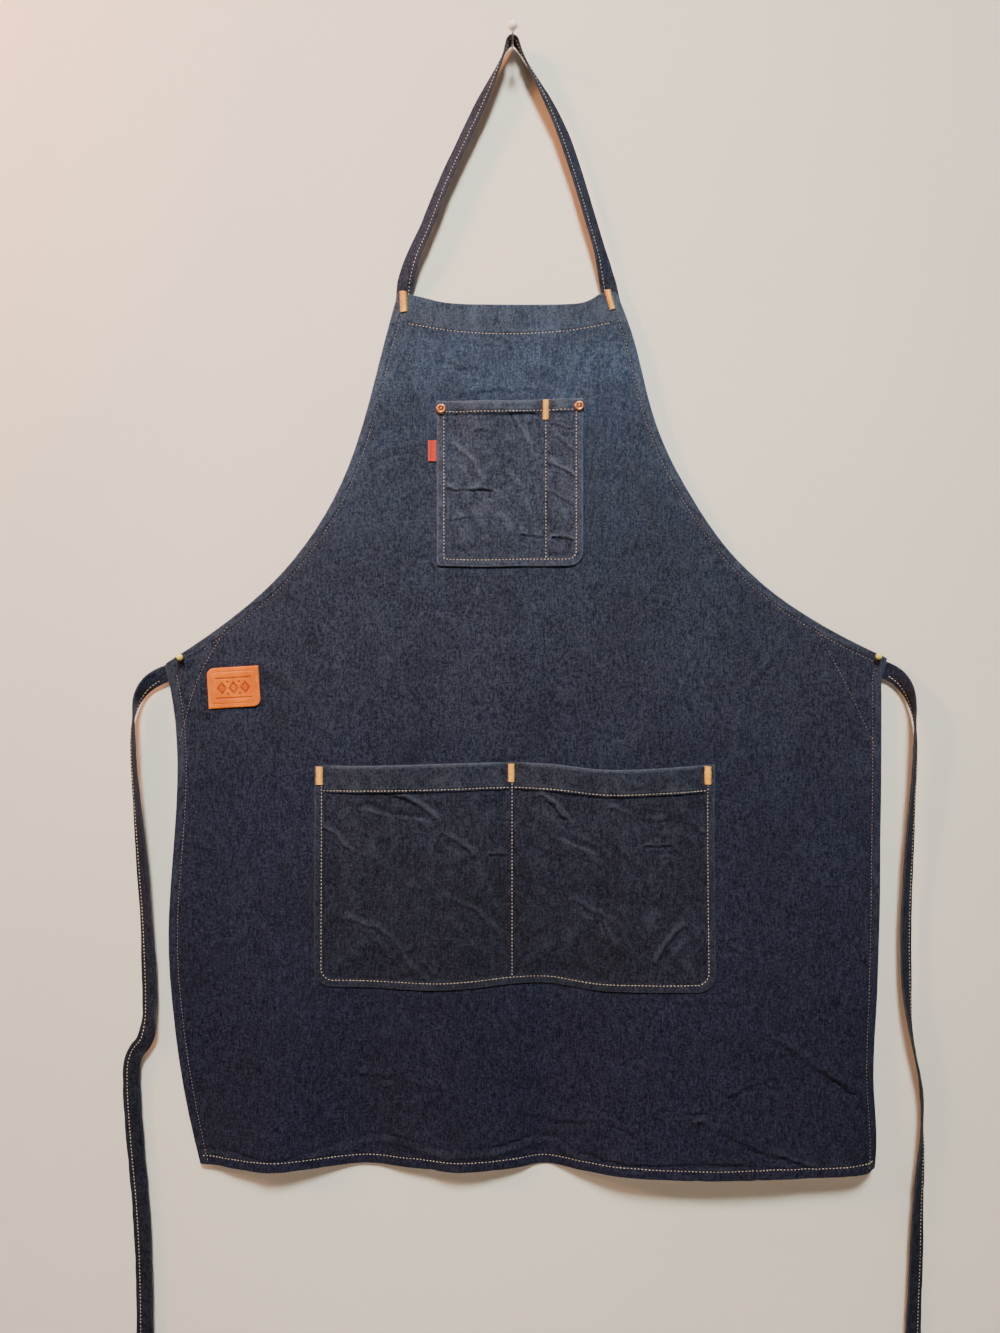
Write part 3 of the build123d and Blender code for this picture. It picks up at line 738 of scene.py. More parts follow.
class Pocket:
    """A patch pocket's plan, in mm: how deep inside its outline a place is, and how far it stands out."""

    def __init__(self, left, right, bottom, top, radii, seam_x, mouth_z, puff, gape, waves, lines, seed):
        self.left, self.right, self.bottom, self.top = left, right, bottom, top
        self.radii, self.seam_x, self.mouth_z = radii, seam_x, mouth_z
        self.puff, self.gape, self.lines, self.seed = puff, gape, lines, seed
        self.high_wave, self.low_wave = (spline(points) for points in waves)

    def wave(self, x, z):
        """How far above its place in the plan the cloth hangs."""
        share = np.clip((self.top - z) / (self.top - self.bottom), 0, 1)
        high, low = (np.interp(x, line[:, 0], line[:, 1]) for line in (self.high_wave, self.low_wave))
        return high * (1 - share) + low * share

    def inside(self, x, z, top=True):
        z = z - self.wave(x, z)
        a, b, c = x - self.left, self.right - x, z - self.bottom
        d = np.minimum(np.minimum(a, b), c)
        for side, r in zip((a, b), self.radii):
            turn = (side < r) & (c < r)
            d = np.where(turn, r - np.hypot(r - side, r - c), d)
        return np.minimum(d, self.top - z) if top else d

    def bounds_at(self, z):
        """The left and right edges at a height."""
        edges = []
        for x, r, way in ((self.left, self.radii[0], 1), (self.right, self.radii[1], -1)):
            c = np.clip(r - (z - self.bottom), 0, r)
            edges.append(x + way * (r - np.sqrt(np.maximum(r * r - c * c, 0))))
        return edges

    def free(self, x, z):
        """How far a place is from the seams that hold the pocket down."""
        return np.clip(np.minimum(self.inside(x, z, False) - 7, np.abs(x - self.seam_x) - 1), 0, None)

    def lift(self, x, z):
        """The front of the pocket above the front of the panel."""
        e, w = self.inside(x, z, False), self.free(x, z)
        below = self.top - z + self.wave(x, z)
        hem = self.top - self.mouth_z
        ledge = 1.1 + 1.5 * smooth(w / 16) * (0.7 + 0.5 * noise(x / 27, z / 60, self.seed + 6))
        two = np.where(e < 9, 0.75 * smooth((9.4 - e) / 0.8), 0) + ledge * smooth((hem + 2.6 - below) / 1.3)
        body = self.puff * (1 - bell(w / 26)) * (0.78 + 0.22 * noise(x / 34, z / 40, self.seed))
        body = body * (1 - 0.25 * smooth((self.bottom + 70 - z) / 70))
        open_ = self.gape * (1 - bell(w / 30)) * bell(np.clip(below, 0, None) / 34)
        rope = (noise((x + z) / 6.5, (x - z) / 9, self.seed + 1) * 0.26) * bell((e - 4) / 5)
        seams = -0.5 * bell((e - 7) / 1.1) * (below > 2) - 0.5 * bell((x - self.seam_x) / 1.1)
        seams = seams - 0.55 * bell((below - hem) / 1.2) * smooth((e - 7) / 4)
        under = 0.7 * bell((below - hem - 8) / 3.2) * smooth(w / 14)
        under = under * (0.7 + 0.6 * noise(x / 23, z / 40, self.seed + 2))
        pucker = 0.30 * noise(x / 6.5, z / 30, self.seed + 3) * bell((below - hem) / 12) * smooth(w / 6)
        pull = 0.35 * noise(z / 7, x / 16, self.seed + 4) * bell((w - 3) / 9) * (below > hem)
        small = ruffle(x / 20, z / 17, self.seed + 5) * 0.45 + ruffle(x / 7, z / 8, self.seed + 9) * 0.15
        small = small - 1.3 * crumple(x - 0.3 * z, z + 0.35 * x, 30, self.seed + 12)
        small = small * smooth(w / 12) * smooth((below - 3) / 10)
        folds = creases(x, z, self.lines) * smooth(w / 5)
        return 1.0 + two + body + open_ + rope + seams + under + pucker + pull + small + folds


CHEST = Pocket(
    -75, 70, -517, -354.5, (3, 13), 33, -365, 3.6, 2.2, (
        [(-75, -0.4), (-40, -0.7), (0, -0.2), (34, 1.6), (70, 2.2)],
        [(-75, -1), (-30, -2), (10, -1.2), (50, -1.2), (70, 0)],
    ), [
        (2.2, 1.5, [(-1, -369), (7, -386), (16, -402), (18, -411)]),
        (1.8, 1.0, [(20, -367), (31, -374)]),
        (1.8, 1.1, [(39, -378), (61, -384)]),
        (1.8, 1.2, [(37, -386), (61, -405)]),
        (2.0, 2.0, [(36, -417), (48, -423), (61, -431)]),
        (1.9, 1.4, [(38, -445), (64, -461)]),
        (1.9, 1.3, [(8, -488), (22, -489), (31, -492)]),
        (2.0, 2.0, [(41, -492), (52, -492), (66, -495)]),
        (2.4, 1.4, [(-66, -444), (-42, -443), (-19, -444)]),
        (3.0, 0.9, [(-37, -386), (-24, -386)]),
        (3.0, 0.9, [(-58, -402), (-40, -420), (-34, -432)]),
        (2.6, 0.9, [(-62, -474), (-36, -470), (-10, -474)]),
        (2.6, 0.8, [(-4, -430), (8, -446), (14, -466)]),
    ], 81,
)
WAIST = Pocket(
    -196, 200, -935, -715, (18, 18), -0.5, -740, 5.6, 3.6, (
        [(-196, -0.8), (-150, 0), (-95, 1.2), (-20, 3.0), (38, 1.8), (85, -3.4), (122, -3.6), (160, -1.6),
         (200, 0.6)],
        [(-196, 1.5), (-150, 0), (-80, -2.4), (-38, 0), (0, 3.6), (34, 3.4), (85, -3.2), (130, -3.8),
         (200, -2.6)],
    ), [
        (2.6, 2.2, [(-115, -746), (-96, -754), (-81, -765)]),
        (2.8, -1.3, [(-148, -759), (-110, -767), (-78, -772)]),
        (2.4, 1.7, [(-67, -784), (-55, -793), (-44, -800)]),
        (2.4, 1.6, [(-188, -778), (-174, -788), (-163, -800)]),
        (2.0, 1.5, [(-21, -805), (-5, -805)]),
        (2.4, 1.9, [(27, -746), (40, -756), (52, -769)]),
        (2.8, -1.3, [(50, -789), (66, -797), (80, -804)]),
        (2.2, 1.2, [(132, -796), (157, -796)]),
        (2.4, 1.4, [(177, -775), (191, -788)]),
        (2.8, 2.0, [(168, -877), (158, -889), (145, -905)]),
        (3.0, -1.0, [(-106, -905), (-94, -916), (-83, -925)]),
        (3.2, 1.2, [(-160, -870), (-130, -880), (-112, -898)]),
        (3.0, 1.2, [(60, -850), (88, -868), (96, -890)]),
        (3.0, 1.0, [(-60, -850), (-34, -862), (-16, -884)]),
        (3.0, 1.1, [(100, -760), (128, -772), (150, -770)]),
    ], 101,
)
POCKETS = (CHEST, WAIST)


def panel_front(x, z):
    """How far the panel's front stands from the wall. The creases stop under the pockets."""
    bare = 1.0
    for pocket in POCKETS:
        bare = bare * (1 - smooth((pocket.inside(x, z) - 1) / 9))
    groove = sum(0.9 * bell((p.inside(x, z) + 2.2) / 2.0) for p in POCKETS)
    return base_out(x, z) + CLOTH / 2 + fine_relief(x, z) + crease_relief(x, z) * bare - 0.4 * groove


def pocket_front(pocket, x, z):
    """How far a pocket's front stands from the wall. Near its edges it follows the panel's own creases."""
    e = pocket.inside(x, z)
    near = bell(np.clip(e, 0, None) / 5)
    low = base_out(x, z) + CLOTH / 2
    return low + (panel_front(x, z) - low) * near + pocket.lift(x, z)


def front_out(x, z):
    """How far the outermost cloth stands from the wall."""
    out = panel_front(x, z)
    for pocket in POCKETS:
        out = np.where(pocket.inside(x, z) > 0, pocket_front(pocket, x, z), out)
    return out


def on(surface, line, lift=0.0, way=-1):
    """A line of x and z laid on a surface, and the surface's outward directions."""
    x, z = np.asarray(line, float).T
    h = 0.8
    slope_x = (surface(x + h, z) - surface(x - h, z)) / (2 * h)
    slope_z = (surface(x, z + h) - surface(x, z - h)) / (2 * h)
    up = unit(np.stack([slope_x, np.ones_like(x), slope_z], 1) * way)
    points = np.stack([x, -surface(x, z), z], 1)
    return points + up * lift, up


# ---------------------------------------------------------------- the panel

HIGH, LOW = -246, -1111  # the panel's top and bottom where they're level
EDGE = np.array([
    0, 0.12, 0.4, 0.8, 1.3, 2, 3, 4.2, 5.4, 6.6, 7.5, 8.1, 8.6, 9, 9.4, 9.9, 10.1, 10.7, 11.6, 12.8, 14.2,
    16])
COLUMNS, STEP = 262, 2.3


def panel_grid():
    """x and z of the panel's points, with rows and columns close together along its hems."""
    top = np.concatenate([EDGE[:7], np.arange(4.5, 29, 1.7), np.arange(29.5, 60, 1.1)])
    hem = [BIB_HEM_Z + 0.15, BIB_HEM_Z - 0.15]
    heights = np.concatenate([HIGH - top, np.arange(HIGH - 62, LOW + 17, -STEP), (LOW + EDGE)[::-1], hem])
    heights = np.unique(np.round(heights, 2))[::-1]
    z = heights[:, None] * np.ones(COLUMNS + 2 * len(EDGE))
    for _ in range(3):  # the top and bottom edges aren't level, so rows near them follow them
        at = z[:, :1]
        a, b = LEFT.at(at, EDGE[-1]), RIGHT.at(at, EDGE[-1])
        middle = a + (b - a) * np.linspace(0, 1, COLUMNS + 2)[1:-1]
        x = np.concatenate([LEFT.at(at, EDGE), middle, RIGHT.at(at, EDGE[::-1])], 1)
        high = smooth(1 - (HIGH - heights) / 40)[:, None]
        low = smooth(1 - (heights - LOW) / 30)[:, None]
        z = heights[:, None] + high * (top_z(x) - HIGH) + low * (low_z(x) - LOW)
    return x, z


def hem_thickness(x, z):
    """The panel's thickness, which is double where a hem is turned under."""
    return CLOTH * (1 + ((np.minimum(from_sides(x, z), z - low_z(x)) < HEM) | (z > BIB_HEM_Z)))


def panel_back(x, z):
    return panel_front(x, z) - hem_thickness(x, z) - 0.15 * noise(x / 6, z / 6, 65)


def make_panel():
    x, z = panel_grid()
    front, thick = panel_front(x, z), hem_thickness(x, z)
    d = np.clip(np.minimum(from_sides(x, z), np.minimum(z - low_z(x), top_z(x) - z)), 0, None)
    tuck = thick / 2 - rolled(d, thick / 2)
    back = np.maximum(front - thick + tuck, 0.05)
    relief = fine_relief(x, z) + 0.6 * crease_relief(x, z)
    wear = 0.85 * bell(d / 1.1) + 0.7 * np.clip(relief, 0, 1) * bell(d / 26) + 0.35 * np.clip(relief, 0, 1.4)
    above = z - bib_seam_z(x)
    wear = wear + 0.55 * bell((above - 3) / 3) * (above > 0) * (0.5 + 0.5 * noise(x / 5, z / 5, 66))
    wear = np.clip(wear * (0.35 + 0.65 * smooth((z + 1000) / 500)), 0, 1)
    cloth = slab(
        "apron_panel", x, z, front - tuck, back, wear, paint=DENIM, node="body_panel", slot="denim", sharp=55)


make_panel()


def make_corner_patch(side, seam, node):
    """The triangle of cloth behind a waist corner: from its seam out to the hems."""
    line = even(spline(seam, 1.5), 1.5)
    outer = side.at(line[:, 1], SEAM)
    x = line[:, :1] + (outer - line[:, 0])[:, None] * np.linspace(0, 1, 40)
    if side is LEFT:
        x = x[:, ::-1]
    z = line[:, 1:] + 0 * x
    border = np.clip(np.minimum(away(x, z, line), np.minimum(z - z.min(), z.max() - z)), 0, None)
    front = panel_front(x, z) - CLOTH - 0.1
    back = front - 0.55 - 0.45 * rolled(border, 1.0) + 0.12 * noise(x / 5, z / 5, 67)
    slab(f"{node}_cloth", x, z, front, back, 0.5 * bell(border), paint=DENIM, node=node, slot="denim")


make_corner_patch(LEFT, LEFT_SEAM, "left_corner_patch")
make_corner_patch(RIGHT, RIGHT_SEAM, "right_corner_patch")

# ---------------------------------------------------------------- the pockets


def pocket_rows(pocket):
    """Heights and shares of width for a pocket's points, closer near its edges."""
    near = np.array([
        0, 0.15, 0.5, 1, 1.7, 2.6, 3.6, 4.6, 5.6, 6.3, 6.8, 7.2, 7.8, 8.6, 9.4, 10.2, 11.2, 12.4])
    r = max(pocket.radii)
    turn = r * (1 - np.cos(np.linspace(0, np.pi / 2, 22)))
    low = np.unique(np.round(np.concatenate([near, turn, np.arange(14, 20, 1.2)]), 2))
    hem = pocket.top - pocket.mouth_z
    high = np.concatenate([near[:7], np.arange(4.5, hem + 12, 1.0)])
    middle = np.arange(pocket.top - hem - 13, pocket.bottom + low[-1] + 1, -1.35)
    heights = np.concatenate([pocket.top - high, middle, (pocket.bottom + low)[::-1]])
    return np.unique(np.round(heights, 2))[::-1], near


def make_pocket(pocket, name, columns):
    heights, near = pocket_rows(pocket)
    left, right = pocket.bounds_at(heights)
    a, b = left + 13.2, right - 13.2
    middle = a[:, None] + (b - a)[:, None] * np.linspace(0, 1, columns)
    x = np.concatenate([left[:, None] + near, middle, right[:, None] - near[::-1]], 1)
    down = pocket.top - heights[:, None]
    z = heights[:, None] + pocket.wave(x, heights[:, None])
    front = pocket_front(pocket, x, z)
    d = np.clip(pocket.inside(x, z), 0, None)
    seams = np.clip(pocket.inside(x, z, False), 0, None)
    hem = pocket.top - pocket.mouth_z
    thick = 0.9 * (1 + smooth((9.4 - seams) / 0.8) + smooth((hem + 1.5 - down) / 1.2))
    thick = np.minimum(thick, 1.8)
    tuck = thick / 2 - rolled(d, thick / 2)
    ground = panel_front(x, z) + 0.04
    back = np.maximum(front - thick + tuck, np.minimum(ground, front - tuck - 0.2))
    relief = pocket.lift(x, z)
    blurred = sum(np.roll(relief, k, axis=n) for n in (0, 1) for k in (-6, 6)) / 4
    wear = 0.9 * bell(d / 1.3) + np.clip((relief - blurred) * 0.8, 0, 0.8) + 0.25 * bell((seams - 4) / 4)
    rubbed = 0.5 + 0.6 * noise(x / 4, z / 5, pocket.seed + 21)
    wear = wear + 0.4 * bell((down - hem / 2) / (hem / 3)) * rubbed
    wear = np.clip(wear * (0.4 + 0.6 * smooth((z + 900) / 400)), 0, 1)
    cloth = slab(
        f"{name}_cloth", x, z, front - tuck, back, wear, paint=POCKET_DENIM, node=name, slot="denim",
        sharp=60)


make_pocket(CHEST, "chest_pocket", 92)
make_pocket(WAIST, "waist_pocket", 240)

# ---------------------------------------------------------------- seams


def inset(line, distance):
    """A line moved sideways, to the left of its direction."""
    way = unit(np.gradient(line, axis=0))
    return line + np.stack([-way[:, 1], way[:, 0]], 1) * distance


def part_of(line, start, end):
    """A line without its first and last lengths, with even points."""
    s = arc(line)
    keep = even(line, 0.8)
    t = arc(keep)
    return keep[(t >= start) & (t <= s[-1] - end)]


def split(edge, z):
    """An edge's part above a height and its part below."""
    return edge[edge[:, 1] >= z], edge[edge[:, 1] <= z]


def seam(name, node, lines, paint=THREAD, back=panel_back):
    """Stitches along lines on the front, and on the back too where there is one."""
    name = f"{name}_seam"
    front = [on(front_out, line, 0.12) for line in lines]
    behind = [on(back, line + 0.4, 0.12, 1) for line in lines] if back else []
    runs = sewn(front + behind, radius=0.36 if paint is THREAD else 0.3, seed=len(name))
    mesh_of(name, *runs, paint=paint, node=f"{node}_stitching", slot="thread")


hemmed = lambda edge, distance: inset(even(edge, 2), distance)
left_arm, left_side = split(left_edge, -613)
right_arm, right_side = split(right_edge, -609)
for name, line, start, end, paint in (
    ("left_armhole", hemmed(left_arm, SEAM), 1, 9, TAN_THREAD),
    ("right_armhole", hemmed(right_arm, -SEAM), 1, 11, TAN_THREAD),
    ("left_side", hemmed(left_side, SEAM), 12, 1, TAN_THREAD),
    ("right_side", hemmed(right_side, -SEAM), 5, 1, TAN_THREAD),
    ("bottom_hem", hemmed(low_edge, SEAM), 2, 2, THREAD),
    ("bib_hem", BIB_SEAM, 0, 0, THREAD),
    ("left_corner", spline(LEFT_SEAM), 1, 2, TAN_THREAD),
    ("right_corner", spline(RIGHT_SEAM), 1, 2, TAN_THREAD),
):
    seam(name, name, [part_of(line, start, end)], paint)


def pocket_seams(pocket, name, divider, low_tack):
    l, r, b = pocket.left + 7, pocket.right - 7, pocket.bottom + 7
    rl, rr = (max(k - 6, 1.5) for k in pocket.radii)
    turn = np.linspace(0, np.pi / 2, 9)
    line = np.array(
        [(l, pocket.top - 5)]
        + [(l + rl - rl * np.cos(t), b + rl - rl * np.sin(t)) for t in turn]
        + [(r - rr + rr * np.sin(t), b + rr - rr * np.cos(t)) for t in turn]
        + [(r, pocket.top - 5)]
    )
    hung = lambda line: line + np.stack([0 * line[:, 0], pocket.wave(*line.T)], 1)
    seam(f"{name}_pocket_outer", f"{name}_pocket", [hung(even(line, 1.0))])
    seam(f"{name}_pocket_mouth", f"{name}_mouth", [
        hung(np.array([(a, pocket.mouth_z) for a in np.arange(p, q, 1.0)]))
        for p, q in ((l + 1, pocket.seam_x - 2), (pocket.seam_x + 2, r - 1))
    ], back=None)
    seam(f"{name}_pocket_divider", divider, [
        hung(np.array([(pocket.seam_x, z) for z in np.arange(low_tack, b, -1.0)]))])


pocket_seams(CHEST, "chest", "pen_slot", -375)
pocket_seams(WAIST, "waist", "waist_divider", -735)

# ---------------------------------------------------------------- bar tacks


def tack(x, z, width, height, turn, seed):
    """A bar of close crosswise threads, lifted a little off the cloth."""
    r = np.random.default_rng(seed)
    n = int(height / 0.46)
    t = np.radians(turn)
    down, over = np.array([np.sin(t), -np.cos(t)]), np.array([np.cos(t), np.sin(t)])
    at = (np.arange(n) / (n - 1) - 0.5) * (height - 0.8)
    line = np.array([x, z]) + at[:, None] * down + r.normal(0, 0.10, (n, 1)) * over
    centres, ups = on(front_out, line)
    centres[:, 1] = np.polyval(np.polyfit(at, centres[:, 1], 2), at)
    ups = unit(ups.mean(0, keepdims=True)) + 0 * ups
    centres = centres + ups * 0.7
    way = np.stack([np.full(n, over[0]), np.zeros(n), np.full(n, over[1])], 1)
    way[:, 2] += np.where(np.arange(n) % 2, 0.05, -0.03) + r.normal(0, 0.02, n)
    return strands(centres, square_to(way, ups), ups, width + r.normal(0, 0.35, n), 0.36, 0.38)


for name, node, *places in (
    ("left_strap_tack", "strap_bartack_left", (-108, -256, 7.2, 20.5, 2)),
    ("right_strap_tack", "strap_bartack_right", (96.5, -254, 6.0, 20, 16)),
    ("pen_slot_tack", "pen_slot_bartack", (33, -363, 6.6, 19.5, 0)),
    ("waist_pocket_tacks", "waist_pocket_bartacks",
     (-191, -725.5, 7, 18, 0), (-1, -722.5, 7, 18, 0), (193, -725, 7, 18, 0)),
):
    made = joined([tack(*place, seed=i + len(name)) for i, place in enumerate(places)])
    mesh_of(name, *made, paint=GOLD, node=node, slot="gold_thread")

# ---------------------------------------------------------------- rivets, patch, tab


RIVETS = ((-70.5, -363), (66, -360))


def make_rivets(name, node, surface, profile, dark):
    """One half of both rivets, from its radii and how far behind a surface they are."""
    parts = []
    for at in RIVETS:
        y = -float(surface(*np.array(at, float)[:, None])[0])
        parts.append(turned([(r, y + depth) for r, depth in profile], at))
    made = joined(parts)
    r = np.minimum(*(np.hypot(made[0][:, 0] - x, made[0][:, 2] - z) for x, z in RIVETS))
    wear = dark * bell((r - 1.9) / 0.8)
    mesh_of(name, *made, paint=COPPER, node=node, slot="copper", wear=wear, sharp=70)


make_rivets("rivet_heads", "rivet_caps", front_out, [
    (0, -1.9), (0.5, -1.85), (0.9, -1.6), (1.2, -1.15), (1.6, -0.95), (2.3, -1.0), (2.7, -1.3), (3.1, -1.45),
    (3.7, -1.4), (4.3, -1.15), (4.7, -0.75), (4.9, -0.3), (4.9, 0.25), (4.4, 0.4), (0, 0.4)], 1)
make_rivets("rivet_backs", "rivet_posts", panel_back, [
    (0, 1.9), (0.6, 1.9), (1.2, 1.7), (1.5, 1.0), (2.2, 0.9), (2.6, 1.15), (3.6, 1.1), (4.0, 0.8),
    (4.0, 0.3), (3.6, 0), (0, 0)], 0)


def lozenge(x, z, cx, cz, w, h):
    return smooth((1 - np.abs(x - cx) / w - np.abs(z - cz) / h) * 4 + 0.5)


def make_leather():
    wide, tall, cut = 51.5, 40.0, 7.0
    near = np.array([0, 0.2, 0.5, 0.9, 1.3])
    z = np.concatenate([
        near, np.arange(1.7, cut, 0.35), np.arange(cut, tall - cut, 0.42),
        tall - cut + np.arange(0, cut - 1.7, 0.35), tall - near[::-1]])
    z = tall / 2 - np.unique(np.round(z, 2))[:, None]
    fall = lambda c: cut - np.sqrt(np.clip(cut**2 - np.clip(cut - c, 0, cut) ** 2, 0, None))
    left, right = -wide / 2 + fall(tall / 2 - z), wide / 2 - fall(z + tall / 2)
    middle = left + 1.7 + (right - left - 3.4) * np.linspace(0, 1, 124)
    x = np.concatenate([left + near, middle, right - near[::-1]], 1)
    z = z + 0 * x
    a, b = x + wide / 2, wide / 2 - x
    c, e = tall / 2 - z, z + tall / 2
    d = np.minimum(np.minimum(a, b), np.minimum(c, e))
    for u, v in ((a, c), (b, e)):
        d = np.where((u < cut) & (v < cut), cut - np.hypot(cut - u, cut - v), d)
    d = np.clip(d, 0, None)
    pressed = [lozenge(x, z, cx, cz, 1.5, 1.6) for cx in (-5.75, 5.75) for cz in (5.4, -6.4)]
    for cx in (-11.5, 0, 11.5):
        large, hollow, small = (
            lozenge(x, z, cx, -0.5, *size) for size in ((5.4, 6.6), (2.3, 2.9), (1.2, 1.5)))
        pressed += [large - hollow, small]
    for cz in (9.3, -10.4):
        pressed.append(smooth((0.75 - np.abs(z - cz)) * 4 + 0.5) * (np.abs(x) < 17.5))
    press = np.maximum.reduce([0 * x, *pressed]) * (0.75 + 0.25 * noise(x / 1.4, z / 1.4, 121))
    step = 1.9  # from one stitch hole to the next
    ring = bell((d - 4.2) / 0.55)
    beat = 0.5 + 0.5 * np.cos(2 * np.pi * np.where((a < 9) | (b < 9), z, x) / step)
    holes = ring * beat**2
    t = np.radians(3.5)
    px, pz = -276 + x * np.cos(t) - z * np.sin(t), -638 + x * np.sin(t) + z * np.cos(t)
    ground = base_out(px, pz) + CLOTH / 2 + 0.35
    bow = 0.8 * smooth((12 - np.hypot(a, e)) / 12) + 0.5 * smooth((9 - np.hypot(b, c)) / 9)
    back = np.maximum(ground, panel_front(px, pz) + 0.05) + bow * 0.5
    front = back + 0.75 + 0.75 * rolled(d, 1.0) - 0.42 * press - 0.5 * holes - 0.12 * ring
    front = front + 0.10 * ruffle(x / 5, z / 5, 122) + 0.25 * bell((d - 7) / 3)
    wear = np.clip(0.95 * press + 0.45 * holes, 0, 1)
    slab(
        "leather_label", px, pz, front, back, wear, paint=LEATHER, node="leather_patch", slot="leather",
        sharp=60)


make_leather()


def make_tab():
    """A loop of ribbon that comes out from under the chest pocket's edge."""
    left, low, tall = -83.5, -414.25, 20.5
    x = np.concatenate([[0, 0.1, 0.3, 0.6], np.arange(1, 7.5, 0.4), [7.7, 8.0]])
    z = np.concatenate([[0, 0.15, 0.4], np.arange(0.8, 19.8, 0.5), [20.1, 20.35, tall]])[::-1]
    x, z = np.meshgrid(left + x, low + z)
    fold = x - left
    d = np.minimum(fold, np.minimum(z - low, low + tall - z)).clip(0)
    ground = np.maximum(panel_front(x, z), base_out(x, z) + CLOTH / 2)
    thick = 0.75 + 0.55 * bell((fold - 1.2) / 1.6)
    front = ground + 0.25 + thick * rolled(fold.clip(0), 1.0) + 0.12 * noise(x / 3, z / 4, 131)
    wear = np.clip(0.9 * bell(d / 0.5) + 0.5 * bell(fold / 0.6), 0, 1)
    slab(
        "ribbon_tab", x, z, front, ground + 0.05, wear, paint=RUST, node="side_tab", slot="tab_cloth",
        sharp=60)


make_tab()

# ---------------------------------------------------------------- bands: the neck strap and the ties


TAPE, THICK = 17, 2.0  # how wide and how thick the strap and the ties are


def band(centres, side, angle, seam_at, seed):
    """The front and back grids of a tape along a line, its wear, and the lines of its seam, which is seam_at
    from one edge. The angle turns it about its centre line from lying flat along the wall."""
    way = unit(np.gradient(centres, axis=0))
    across = unit(np.cross([0, side, 0], way)) * np.cos(angle)[:, None]
    across = square_to(across + np.array([0, 1, 0]) * np.sin(angle)[:, None], way)
    face = np.cross(way, across)
    s = arc(centres)[:, None]
    e = np.array([0, 0.12, 0.4, 0.9, 1.6, 2.5, 3.5, 4.0, 4.5, 5.0, 5.8, 7.0])
    u = np.concatenate([e, [TAPE / 2], TAPE - e[::-1]])[None]
    d = np.minimum(u, TAPE - u)
    groove = 0.32 * bell((TAPE - u - seam_at) / 0.8)
    rope = 0.20 * noise(s / 6 + u / 7, u / 8, seed) + 0.12 * noise(s / 3, u / 6, seed + 1)
    full = 0.20 * np.sin(np.pi * u / TAPE)
    half = rolled(d, THICK / 2) + (full + rope - groove) * smooth(d / 1.5)
    cup = 0.5 * noise(s / 40, u / 30, seed + 2) * (u / TAPE - 0.5)
    wobble = 0.35 * noise(s / 11, 0 * u, seed + 3) * np.sign(u - TAPE / 2) * smooth(1 - d / 3)
    over, out = across[:, None], face[:, None]
    place = centres[:, None] + over * (u - TAPE / 2 + wobble)[..., None] + out * cup[..., None]
    wear = np.clip(0.8 * bell(d / 1.0) + 0.8 * np.clip(rope, 0, 1) + 0 * s, 0, 1)
    line = centres + across * (TAPE / 2 - seam_at)
    runs = [(line + up * (THICK / 2 - 0.05), up) for up in (face, -face)]
    return place + out * half[..., None], place - out * half[..., None], wear, runs


# The strap's x, y, z and tilt in degrees, up one side and down the other
LEFT_LEG = [
    (-109, -5.5, -274, 0), (-107, -5.5, -241, 0), (-105.5, -6.5, -233, 12), (-99, -8.5, -212, 30),
    (-86, -9, -183, 38), (-69, -9, -140, 40), (-54, -9, -107, 41), (-30, -9.5, -57, 46),
    (-10.5, -10.3, -15, 72),
]
RIGHT_LEG = [
    (10.5, -10.3, -13, 76), (35, -9.5, -57, 50), (49, -9, -87, 43), (64, -9, -130, 40), (77, -9, -173, 37),
    (88.5, -8.5, -212, 32), (93.5, -6.5, -232, 12), (95.5, -5.5, -240, 0), (102, -5.5, -272, 0),
]


def make_strap():
    crown = [(5 * np.sin(a), -10.5, -2.9 + 5 * np.cos(a), 90) for a in np.radians((-60, -30, 0, 30, 60))]
    line = spline([*LEFT_LEG, *crown, *RIGHT_LEG], 1.4)
    centres, tilt = line[:, :3], np.radians(line[:, 3])
    s = arc(centres)
    free = smooth((s - 40) / 40) * smooth((s[-1] - s - 40) / 40)
    tilt = tilt + np.radians(5) * noise(s / 45, 0 * s, 141) * free
    *tape, runs = band(centres, 1, -tilt, 4.2, 142)
    strap = shell_of(
        "neck_strap_tape", *tape, paint=TAPE_DENIM, node="neck_strap", slot="denim_tape", sharp=60)
    stitched = mesh_of(
        "neck_strap_seam", *sewn([(line[14:-14], up[14:-14]) for line, up in runs], seed=3),
        paint=THREAD, node="neck_strap_stitching", slot="thread")


make_strap()


def make_tie(line, side, twist, depth, name, hinge):
    """One tie: twist and depth are (distance along it, value), in degrees and mm out from its route."""
    path = even(line, 1.6)
    s = arc(path)
    angle = np.radians(np.interp(s, *zip(*twist)))
    angle = blur(angle, 7) + np.radians(7) * noise(s / 70, 0 * s, 151 + side) * smooth((s - 120) / 100)
    out = blur(np.interp(s, *zip(*depth)), 7)
    centres = path - np.stack([0 * out, out, 0 * out], 1)
    *tape, runs = band(centres, side, angle, 4.5, 152 + side)
    tie = shell_of(
        f"{name}_tie_tape", *tape, paint=TAPE_DENIM, body=None, node=f"waist_tie_{name}", slot="denim_tape",
        sharp=60)
    stitched = mesh_of(
        f"{name}_tie_tape_seam", *sewn([(line[14:], up[14:]) for line, up in runs], seed=5 + side),
        paint=THREAD, body=None, node=f"{name}_tie_stitching", slot="thread")
    start, end = (Vector(p) * MM for p in hinge)
    for piece in (tie, stitched):
        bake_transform(piece)
        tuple(start)
        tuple(end)


